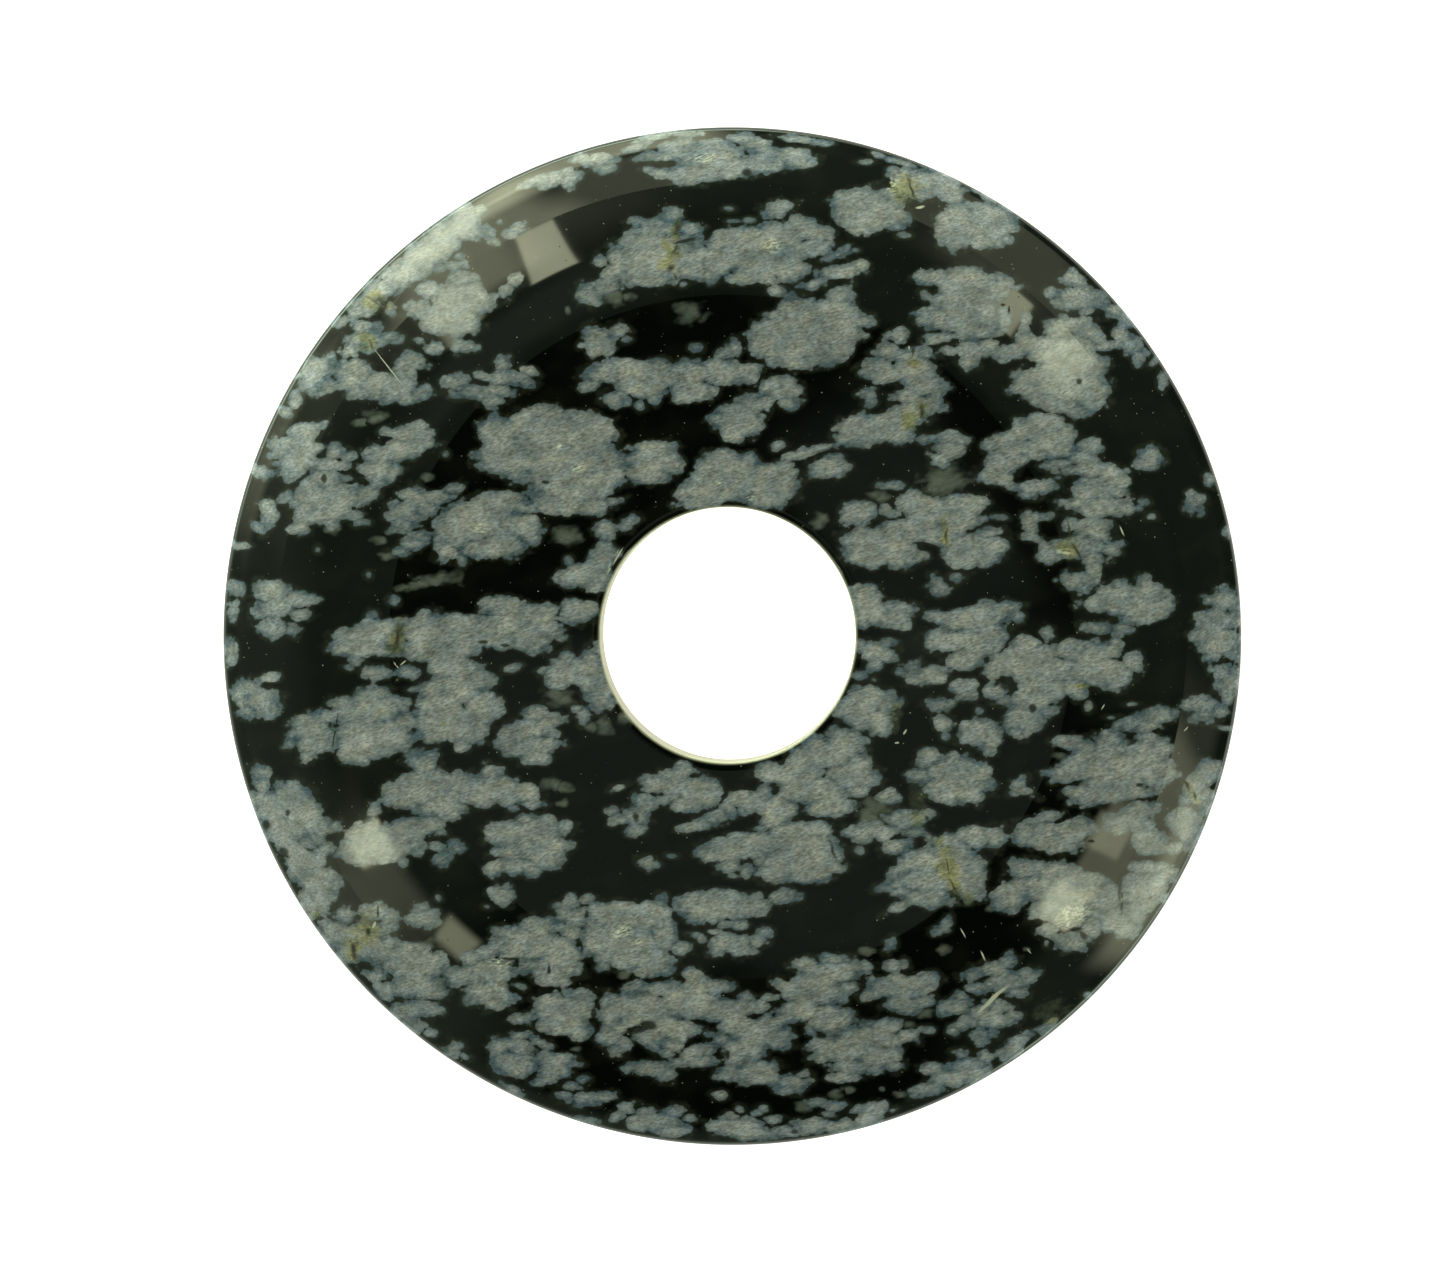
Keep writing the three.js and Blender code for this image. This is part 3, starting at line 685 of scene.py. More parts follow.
@dataclass(frozen=True)
class View:
    """The camera of the photograph: almost straight above, and a little to the upper right."""

    section: Section
    distance: float = 0.60
    lean: float = math.radians(1.4)
    lean_heading: float = math.radians(45)
    sensor_width: float = 36.0
    disc_x: float = 732.3
    disc_y: float = 636.1
    disc_radius: float = 508.3
    sight_steps: int = 4

    @property
    def pixel(self) -> float:
        """The size of a photograph's pixel in the plane of the stone's edge, in metres."""
        return self.section.rim_radius / self.disc_radius

    @property
    def axis(self) -> np.ndarray:
        """The direction from the stone to the camera."""
        flat = math.sin(self.lean) * np.array([math.cos(self.lean_heading), math.sin(self.lean_heading)])
        return np.array([*flat, math.cos(self.lean)])

    @property
    def turned(self) -> np.ndarray:
        """The camera's right, its up, which is near +Y, and the axis back to it, as a matrix's columns."""
        right = np.array([self.axis[2], 0.0, -self.axis[0]])
        right /= np.linalg.norm(right)
        return np.stack([right, np.cross(self.axis, right), self.axis], axis=1)

    @property
    def target(self) -> np.ndarray:
        """The point of the edge's plane that is in the middle of the picture."""
        across = PHOTO_WIDTH / 2 - self.disc_x
        down = PHOTO_HEIGHT / 2 - self.disc_y
        return np.array([across * self.pixel, -down * self.pixel, self.section.thickness / 2])

    @property
    def place(self) -> np.ndarray:
        """Where the camera stands."""
        return self.target + self.distance * self.axis

    def build(self) -> bpy.types.Object:
        """Makes the camera and gives it to the scene."""
        data = bpy.data.cameras.new("camera")
        data.sensor_width = self.sensor_width
        data.lens = self.sensor_width * self.distance / (PHOTO_WIDTH * self.pixel)
        camera = bpy.data.objects.new("camera", data)
        bpy.context.scene.collection.objects.link(camera)
        camera.matrix_world = placed(self.turned, self.place)
        bpy.context.scene.camera = camera
        return camera

    def on_stone(self, x: np.ndarray, y: np.ndarray) -> np.ndarray:
        """Finds where the sight lines of pixels meet the upper face.

        A sight line goes from the camera through the pixel's point in the edge's plane. It is cut with
        the face by taking the height at the point found so far, a few times over.

        Args:
            x: Pixels from the left of the photograph.
            y: Pixels from its top.

        Returns:
            Points on the face, one a row.
        """
        right, up, _ = self.turned.T
        across = (np.asarray(x, float) - PHOTO_WIDTH / 2) * self.pixel
        above = (PHOTO_HEIGHT / 2 - np.asarray(y, float)) * self.pixel
        through = self.target + across[:, None] * right + above[:, None] * up
        sight = through - self.place
        height = np.full(len(through), self.section.thickness)
        for _ in range(self.sight_steps):
            share = (height - self.place[2]) / sight[:, 2]
            point = self.place + share[:, None] * sight
            height = self.section.face_height(np.hypot(point[:, 0], point[:, 1]))
        return point

    def mirrored(self, points: np.ndarray) -> np.ndarray:
        """Gives the directions in which the polished face at points sends the camera's sight lines."""
        sight = points - self.place
        sight /= np.linalg.norm(sight, axis=1, keepdims=True)
        normal = self.section.normals(points)
        return sight - 2 * np.sum(sight * normal, axis=1, keepdims=True) * normal


@dataclass
class Ellipsoids:
    """Ellipsoids in or below the stone's surface, as arrays with one row each. Lengths are in metres."""

    centres: np.ndarray
    halves: np.ndarray
    tilts: np.ndarray
    reach: Reach

    @classmethod
    def read(cls, rows: list[Lobe], view: View, depth: float) -> Self:
        """Puts ellipses of the photograph onto the upper face.

        Args:
            rows: The ellipses, in pixels.
            view: The camera they were seen through.
            depth: The least that each reaches into the stone.

        Returns:
            Ellipsoids whose cut with the face is the ellipse, with their depth measured from that face.
        """
        table = np.array([astuple(row) for row in rows])
        centres = view.on_stone(table[:, 0], table[:, 1])
        centres[:, 2] = 0
        halves = table[:, 2:4] * view.pixel
        depths = np.maximum(np.sqrt(halves.prod(axis=1)) * DEPTH_TO_SIZE, depth)
        return cls(centres, np.column_stack([halves, depths]), np.radians(table[:, 4]), Reach.BELOW_FACE)

    @property
    def sizes(self) -> np.ndarray:
        """The mean half size of each ellipsoid's cut."""
        return np.sqrt(self.halves[:, 0] * self.halves[:, 1])

    def inside(self, points: np.ndarray, which: np.ndarray | int) -> np.ndarray:
        """Gives the place of points inside ellipsoids: vectors that are 1 long on their surfaces.

        The offset from the centre is turned back by the tilt and divided by the half sizes.

        Args:
            points: Points, one a row, measured as reach says.
            which: The ellipsoid of each point, or one for all.

        Returns:
            One vector a row.
        """
        offset = points - self.centres[which]
        cos = np.cos(self.tilts[which])
        sin = np.sin(self.tilts[which])
        along = offset[:, 0] * cos + offset[:, 1] * sin
        across = offset[:, 1] * cos - offset[:, 0] * sin
        return np.stack([along, across, offset[:, 2]], axis=1) / self.halves[which]


@dataclass(frozen=True)
class SnowflakeGrowth:
    """How the snowflakes that the photograph doesn't show are grown, on the back, edge and hole's wall."""

    section: Section
    clusters: int = 140
    lobes_each: int = 14
    lobe_sizes: tuple[float, float] = (0.35 * MM, 1.3 * MM)
    shrinks: tuple[float, float] = (0.4, 1.0)
    stretch: float = 1.5
    flow: float = math.radians(10)
    height_range: tuple[float, float] = (-0.4 * MM, 4.2 * MM)
    cover: float = 0.35 * MM
    spreads: tuple[float, float] = (0.5 * MM, 1.3 * MM)
    flatness: float = 0.45
    tilt_spread: float = 0.2

    def grow(self, seed: int) -> Ellipsoids:
        """Grows clusters of ellipsoids round scattered seeds.

        Seeds are spread evenly over the ring, by the square root of a random share of its area. The lobes
        of one lie round it with a normal spread, long axes along the flow of the glass. Those that come
        nearer to the upper face than the cover are left out, because that face has its own.

        Args:
            seed: Seed of the random draws.

        Returns:
            The ellipsoids, measured in the solid.
        """
        rng = np.random.default_rng(seed)
        inner, outer = self.section.hole_radius, self.section.rim_radius
        radius = np.sqrt(rng.uniform(inner**2, outer**2, self.clusters))
        angle = rng.uniform(0, 2 * math.pi, self.clusters)
        height = rng.uniform(*self.height_range, self.clusters)
        cores = np.stack([radius * np.cos(angle), radius * np.sin(angle), height], axis=1)
        owner = np.repeat(np.arange(self.clusters), self.lobes_each)
        spread = rng.uniform(*self.spreads, self.clusters)[owner, None]
        offset = rng.normal(0, 1, (len(owner), 3)) * spread * (self.stretch, 1.0, self.flatness)
        size = rng.uniform(*self.lobe_sizes, len(owner)) * rng.uniform(*self.shrinks, len(owner))
        halves = size[:, None] * (self.stretch, 1.0, 1.0)
        tilts = self.flow + rng.normal(0, self.tilt_spread, len(owner))
        centres = cores[owner] + offset
        outermost = np.hypot(centres[:, 0], centres[:, 1]) + halves[:, 0]
        buried = centres[:, 2] + halves[:, 2] + self.cover < self.section.face_height(outermost)
        return Ellipsoids(centres[buried], halves[buried], tilts[buried], Reach.SOLID)


def add_node(
    tree: bpy.types.NodeTree,
    kind: str,
    settings: dict[str, object] | None = None,
    *values: Value,
    output: str | None = None,
    **inputs: Value,
) -> bpy.types.NodeSocket | None:
    """Adds a node with its settings and links.

    Args:
        tree: The node tree.
        kind: The node's type without its prefix, as in Math.
        settings: The node's own properties.
        *values: Values or sockets for the inputs in use, in the node's order.
        output: The name of the output to give, where it isn't the first one in use.
        **inputs: Values or sockets by the input's name, with _ for a space.

    Returns:
        The output, or None where the node has none.
    """
    node = tree.nodes.new("ShaderNode" + kind)
    for name, setting in (settings or {}).items():
        setattr(node, name, setting)
    in_use = [socket for socket in node.inputs if socket.enabled]
    named = [(node.inputs[name.replace("_", " ")], value) for name, value in inputs.items()]
    for socket, value in [*zip(in_use, values), *named]:
        if isinstance(value, bpy.types.NodeSocket):
            tree.links.new(value, socket)
        else:
            socket.default_value = value
    if output:
        return node.outputs[output]
    return next((socket for socket in node.outputs if socket.enabled), None)


@dataclass(frozen=True)
class SnowflakeObsidian:
    """Snowflake obsidian: black volcanic glass with grey cristobalite spherulites, lapped and polished.

    The eye sees deep black glass with sharp reflections, and dull grey flowers in it with lobed outlines,
    mottled beige within and bluer towards their edges, streaked along the flow of the glass. The hole's
    wall is drilled and left satin, and its cream tone is a painted reflection of the white table. Widths,
    heights, depths and radii are in millimetres. Of two shares, the first holds in the glass, or at a
    snowflake's outline, and the second is what is added to it in the crystal, or further inwards.
    """

    glass: str = "#030504"
    cloud: str = "#0a0c08"
    veil: str = "#33362e"
    submerged: str = "#5e5f4f"
    edge_tone: str = "#475462"
    body_tone: str = "#909097"
    heart_tone: str = "#a8a8a4"
    stain_tint: tuple[float, float, float] = (0.95, 0.87, 0.5)
    crack_tone: str = "#1c1a12"
    chalk_tone: str = "#adaca4"
    speck_tone: str = "#9d9a8c"
    # Painted reflection: the cream of the hole's wall stands in for the white table mirrored in its satin
    # surface.
    wall_reflection_tone: str = "#cfc9b4"
    index: float = 1.49
    glass_roughness: float = 0.03
    flake_roughness: float = 0.09
    satin_roughness: float = 0.5
    lobe_width: float = 0.6
    lobe_stretch: float = 1.35
    lobe_height: float = 0.8
    scallop_width: float = 0.24
    scallop_stretch: float = 1.2
    scallop_height: float = 0.85
    full_size: float = 0.5
    shake_width: float = 0.5
    shake_stretch: float = 1.5
    waver: float = 0.33
    edge_blur: float = 0.055
    edge_depth: float = 0.42
    halo_depth: float = 0.3
    flow: float = math.radians(18)
    patch_width: float = 1.1
    patch_stretch: float = 1.4
    patch_depth: float = 1.4
    mottle_width: float = 0.42
    mottle_stretch: float = 1.5
    mottle_depth: float = 0.58
    tint: tuple[float, float, float] = (0.27, 0.02, -0.36)
    fibre_width: float = 0.09
    fibre_stretch: float = 2.6
    fibre_depth: float = 0.85
    cloud_width: float = 1.6
    cloud_stretch: float = 1.6
    cloudiness: float = 0.65
    speck_spacing: float = 0.36
    speck_radius: float = 0.028
    polish_wave: float = 2.5
    polish_depth: float = 0.0016
    speck_edges: tuple[float, float] = (1.6, 0.6)
    speck_chances: tuple[float, float] = (0.55, 1.0)
    pit_chances: tuple[float, float] = (0.4, 0.8)
    body_shares: tuple[float, float] = (0.12, 0.55)
    stain_shares: tuple[float, float] = (0.2, 0.75)
    speck_shares: tuple[float, float] = (0.7, -0.6)
    # How far the painted reflection of the white table covers the hole's wall.
    wall_reflection_share: float = 0.85
    gap_share: float = 0.9
    halo_share: float = 0.4
    cloud_steps: tuple[float, float] = (0.45, 0.7)
    heart_fibres: tuple[float, float] = (0.4, 0.6)
    submerged_share: float = 0.8
    submerged_blur: float = 0.55

    def build(self) -> bpy.types.Material:
        """Makes the material."""
        material = bpy.data.materials.new("snowflake_obsidian_polished")
        material.use_nodes = True
        tree = material.node_tree
        tree.nodes.clear()
        place = add_node(tree, "TexCoord", output="Object")
        drilled = add_node(tree, "Attribute", {"attribute_name": "drilled"}, output="Fac")
        shake = self._shake(tree, place)
        depth = self._outline(tree, place, shake)
        flake = self._flake_mask(tree, depth, shake)
        flake_colour = self._flake_colour(tree, place, depth, shake)
        speck, pit = self._specks(tree, place)
        crack = self._mark(tree, shake, "crack")
        scratch = self._mark(tree, shake, "scratch")

        colour = self._glass_colour(tree, place, depth, shake, flake_colour)
        colour = add_node(tree, "Mix", COLOURS, flake, colour, flake_colour)
        colour = self._stained(tree, shake, flake, colour, flake_colour)
        speck_share = add_node(tree, "Math", MULTIPLY_ADD, flake, *reversed(self.speck_shares))
        speck_share = add_node(tree, "Math", MULTIPLY, speck, speck_share)
        colour = add_node(tree, "Mix", COLOURS, speck_share, colour, linear(self.speck_tone))
        colour = add_node(tree, "Mix", COLOURS, crack, colour, linear(self.crack_tone))
        colour = add_node(tree, "Mix", COLOURS, scratch, colour, linear(self.chalk_tone))
        # Painted reflection: the hole's wall is coloured cream for the white table that its satin surface
        # mirrors.
        wall_reflection_share = add_node(tree, "Math", MULTIPLY, drilled, self.wall_reflection_share)
        colour = add_node(tree, "Mix", COLOURS, wall_reflection_share, colour, linear(self.wall_reflection_tone))

        softer = self.flake_roughness - self.glass_roughness
        rough = add_node(tree, "Math", MULTIPLY_ADD, flake, softer, self.glass_roughness)
        for dull in (crack, scratch, drilled, pit):
            satin = add_node(tree, "Math", MULTIPLY, dull, self.satin_roughness)
            rough = add_node(tree, "Math", {"operation": "MAXIMUM"}, rough, satin)
        wave = add_node(tree, "TexNoise", None, place, 1 / (self.polish_wave * MM), 0.0)
        bump = add_node(tree, "Bump", None, Height=wave, Distance=self.polish_depth * MM, Strength=1.0)
        shader = add_node(
            tree, "BsdfPrincipled", Base_Color=colour, Roughness=rough, IOR=self.index, Normal=bump
        )
        add_node(tree, "OutputMaterial", Surface=shader)
        return material

    def _stretched(
        self, tree: bpy.types.NodeTree, place: bpy.types.NodeSocket, width: float, stretch: float
    ) -> bpy.types.NodeSocket:
        """Turns object coordinates along the flow, in cells of width by width * stretch millimetres."""
        across = width * MM
        size = (across * stretch, across, across)
        turned = (0.0, 0.0, self.flow)
        settings = {"vector_type": "TEXTURE"}
        return add_node(tree, "Mapping", settings, Vector=place, Rotation=turned, Scale=size)

    def _bulges(
        self,
        tree: bpy.types.NodeTree,
        place: bpy.types.NodeSocket,
        width: float,
        stretch: float,
        height: float,
    ) -> bpy.types.NodeSocket:
        """Makes rounded lobes that meet in cusps, in millimetres of outline shift.

        It is height * width * (0.5 - the distance to the nearest of scattered points), which is highest
        at the points and creased half way between them.
        """
        cells = self._stretched(tree, place, width, stretch)
        distance = add_node(tree, "TexVoronoi", None, Vector=cells, Scale=1.0)
        return add_node(tree, "Math", MULTIPLY_ADD, distance, -height * width, 0.5 * height * width)

    def _shake(self, tree: bpy.types.NodeTree, place: bpy.types.NodeSocket) -> bpy.types.NodeSocket:
        """Gives the noise, from -0.5 to 0.5 along each axis, that makes every outline uneven."""
        cells = self._stretched(tree, place, self.shake_width, self.shake_stretch)
        noise = add_node(tree, "TexNoise", None, Vector=cells, Scale=1.0, Detail=1.0, output="Color")
        return add_node(tree, "VectorMath", {"operation": "SUBTRACT"}, noise, (0.5, 0.5, 0.5))

    def _outline(
        self, tree: bpy.types.NodeTree, place: bpy.types.NodeSocket, shake: bpy.types.NodeSocket
    ) -> bpy.types.NodeSocket:
        """Gives how far a point is inside a snowflake's outline, in millimetres.

        It is the largest over the three nearest ellipsoids of (1 - |q|) * size + bulges * min(1, size /
        full size), where q is the place inside the ellipsoid, shaken by noise, and the bulges are those
        of the lobes and of their scallops. So small ellipsoids keep their own shape.
        """
        lobed = self._bulges(tree, place, self.lobe_width, self.lobe_stretch, self.lobe_height)
        scallops = self._bulges(tree, place, self.scallop_width, self.scallop_stretch, self.scallop_height)
        bulges = add_node(tree, "Math", None, lobed, scallops)
        sizes = add_node(tree, "Attribute", {"attribute_name": "flake_sizes"}, output="Vector")
        size_of = add_node(tree, "SeparateXYZ", None, sizes).node.outputs
        inside = None
        for slot, size in zip(("flake_1", "flake_2", "flake_3"), size_of):
            place_in = add_node(tree, "Attribute", {"attribute_name": slot}, output="Vector")
            part = add_node(tree, "Math", {"operation": "DIVIDE"}, size, self.full_size)
            part = add_node(tree, "Math", {"operation": "MINIMUM"}, 1.0, part)
            reach = add_node(tree, "Math", MULTIPLY, part, self.waver)
            reach = add_node(tree, "Math", {"operation": "DIVIDE"}, reach, size)
            shaken = add_node(tree, "VectorMath", {"operation": "SCALE"}, shake, reach)
            moved = add_node(tree, "VectorMath", None, place_in, shaken)
            length = add_node(tree, "VectorMath", {"operation": "LENGTH"}, moved)
            short = add_node(tree, "Math", {"operation": "SUBTRACT"}, 1.0, length)
            bulge = add_node(tree, "Math", MULTIPLY, bulges, part)
            here = add_node(tree, "Math", MULTIPLY_ADD, short, size, bulge)
            if inside is None:
                inside = here
            else:
                inside = add_node(tree, "Math", {"operation": "MAXIMUM"}, inside, here)
        return inside

    def _flake_mask(
        self, tree: bpy.types.NodeTree, depth: bpy.types.NodeSocket, shake: bpy.types.NodeSocket
    ) -> bpy.types.NodeSocket:
        """Gives 1 inside the snowflakes and 0 in the glass and in the gaps, with soft edges."""
        flake = add_node(tree, "MapRange", SMOOTH_STEP, depth, -self.edge_blur, self.edge_blur)
        gap = self._mark(tree, shake, "gap")
        kept = add_node(tree, "Math", MULTIPLY_ADD, gap, -self.gap_share, 1.0)
        return add_node(tree, "Math", MULTIPLY, flake, kept)

    def _cloudy(
        self,
        tree: bpy.types.NodeTree,
        place: bpy.types.NodeSocket,
        width: float,
        stretch: float,
        detail: float,
    ) -> bpy.types.NodeSocket:
        """Gives noise in cells of width by width * stretch millimetres along the flow."""
        cells = self._stretched(tree, place, width, stretch)
        finer = {"Detail": detail, "Roughness": self.cloudiness}
        return add_node(tree, "TexNoise", None, Vector=cells, Scale=1.0, **finer)

    def _flake_colour(
        self,
        tree: bpy.types.NodeTree,
        place: bpy.types.NodeSocket,
        depth: bpy.types.NodeSocket,
        shake: bpy.types.NodeSocket,
    ) -> bpy.types.NodeSocket:
        """Colours the crystal: bluer and darker at its edge and in patches, mottled and streaked.

        The body tone's share is the first of body shares + the second * inward + patch depth * (patches -
        0.5), and pale hearts lie over it. Mottle and fibres then scale its brightness by 1 + 2 * depth *
        (noise - 0.5) each. Last, its red, green and blue are scaled by 1 + tint * drift, where the drift
        is noise from -0.5 to 0.5.
        """
        inward = add_node(tree, "MapRange", SMOOTH_STEP, depth, 0.0, self.edge_depth)
        patches = self._cloudy(tree, place, self.patch_width, self.patch_stretch, 1.0)
        outer, added = self.body_shares
        least = outer - self.patch_depth / 2
        share = add_node(tree, "Math", MULTIPLY_ADD, patches, self.patch_depth, least)
        share = add_node(tree, "Math", MULTIPLY_ADD, inward, added, share)
        colour = add_node(tree, "Mix", COLOURS, share, linear(self.edge_tone), linear(self.body_tone))
        mottle = self._cloudy(tree, place, self.mottle_width, self.mottle_stretch, 2.0)
        fibres = self._cloudy(tree, place, self.fibre_width, self.fibre_stretch, 1.0)
        heart = self._mark(tree, shake, "heart")
        thick = add_node(tree, "MapRange", SMOOTH_STEP, fibres, *self.heart_fibres)
        heart = add_node(tree, "Math", MULTIPLY, heart, thick)
        colour = add_node(tree, "Mix", COLOURS, heart, colour, linear(self.heart_tone))
        shade = add_node(tree, "Math", MULTIPLY_ADD, mottle, self.mottle_depth * 2, 1 - self.mottle_depth)
        streak = add_node(tree, "Math", MULTIPLY_ADD, fibres, self.fibre_depth * 2, 1 - self.fibre_depth)
        shade = add_node(tree, "Math", MULTIPLY, shade, streak)
        colour = add_node(tree, "VectorMath", {"operation": "SCALE"}, colour, shade)
        drift = add_node(tree, "SeparateXYZ", None, shake, output="Z")
        tinting = add_node(tree, "VectorMath", {"operation": "SCALE"}, self.tint, drift)
        return add_node(tree, "VectorMath", MULTIPLY_ADD, colour, tinting, colour)

    def _glass_colour(
        self,
        tree: bpy.types.NodeTree,
        place: bpy.types.NodeSocket,
        depth: bpy.types.NodeSocket,
        shake: bpy.types.NodeSocket,
        flake_colour: bpy.types.NodeSocket,
    ) -> bpy.types.NodeSocket:
        """Colours the glass: black, clouded in places, and with buried snowflakes showing through it."""
        clouds = self._cloudy(tree, place, self.cloud_width, self.cloud_stretch, 1.0)
        clouds = add_node(tree, "MapRange", SMOOTH_STEP, clouds, *self.cloud_steps)
        colour = add_node(tree, "Mix", COLOURS, clouds, linear(self.glass), linear(self.cloud))
        halo = add_node(tree, "MapRange", SMOOTH_STEP, depth, -self.halo_depth, 0.0)
        halo = add_node(tree, "Math", MULTIPLY, halo, self.halo_share)
        colour = add_node(tree, "Mix", COLOURS, halo, colour, linear(self.veil))
        seen = self._mark(tree, shake, "submerged")
        seen = add_node(tree, "Math", MULTIPLY, seen, self.submerged_share)
        under = linear(self.submerged)
        under_glass = add_node(tree, "Mix", COLOURS, self.submerged_blur, flake_colour, under)
        return add_node(tree, "Mix", COLOURS, seen, colour, under_glass)

    def _stained(
        self,
        tree: bpy.types.NodeTree,
        shake: bpy.types.NodeSocket,
        flake: bpy.types.NodeSocket,
        colour: bpy.types.NodeSocket,
        flake_colour: bpy.types.NodeSocket,
    ) -> bpy.types.NodeSocket:
        """Stains the stone along its fractures: the crystal takes the tint of iron, the glass a trace."""
        stained = add_node(tree, "VectorMath", MULTIPLY, flake_colour, self.stain_tint)
        share = add_node(tree, "Math", MULTIPLY_ADD, flake, *reversed(self.stain_shares))
        stain = self._mark(tree, shake, "stain")
        share = add_node(tree, "Math", MULTIPLY, stain, share)
        return add_node(tree, "Mix", COLOURS, share, colour, stained)

    def _mark(
        self, tree: bpy.types.NodeTree, shake: bpy.types.NodeSocket, name: str
    ) -> bpy.types.NodeSocket:
        """Gives how strong a kind of mark is, from 0 to 1.

        It is a smooth step of 1 - |q| from faint to full, where q is the place inside the mark's
        ellipsoid, shaken by noise from -1 to 1 times its reach.
        """
        mark = MARKS[name]
        place_in = add_node(tree, "Attribute", {"attribute_name": name}, output="Vector")
        if any(mark.reach):
            twice = tuple(2 * along for along in mark.reach)
            place_in = add_node(tree, "VectorMath", MULTIPLY_ADD, shake, twice, place_in)
        length = add_node(tree, "VectorMath", {"operation": "LENGTH"}, place_in)
        inside = add_node(tree, "Math", {"operation": "SUBTRACT"}, 1.0, length)
        return add_node(tree, "MapRange", SMOOTH_STEP, inside, mark.faint, mark.full)

    def _specks(
        self, tree: bpy.types.NodeTree, place: bpy.types.NodeSocket
    ) -> tuple[bpy.types.NodeSocket, bpy.types.NodeSocket]:
        """Scatters discs round chance points: some are specks of dust, and others pits in the polish."""
        cells = self._stretched(tree, place, self.speck_spacing, 1.0)
        scattered = add_node(tree, "TexVoronoi", None, Vector=cells, Scale=1.0).node.outputs
        radius = self.speck_radius / self.speck_spacing
        edges = (radius * share for share in self.speck_edges)
        disc = add_node(tree, "MapRange", SMOOTH_STEP, scattered["Distance"], *edges)
        chance = add_node(tree, "SeparateXYZ", None, scattered["Color"]).node.outputs
        speck = add_node(tree, "MapRange", SMOOTH_STEP, chance["X"], *self.speck_chances)
        pit = add_node(tree, "MapRange", SMOOTH_STEP, chance["Y"], *self.pit_chances)
        return add_node(tree, "Math", MULTIPLY, disc, speck), add_node(tree, "Math", MULTIPLY, disc, pit)


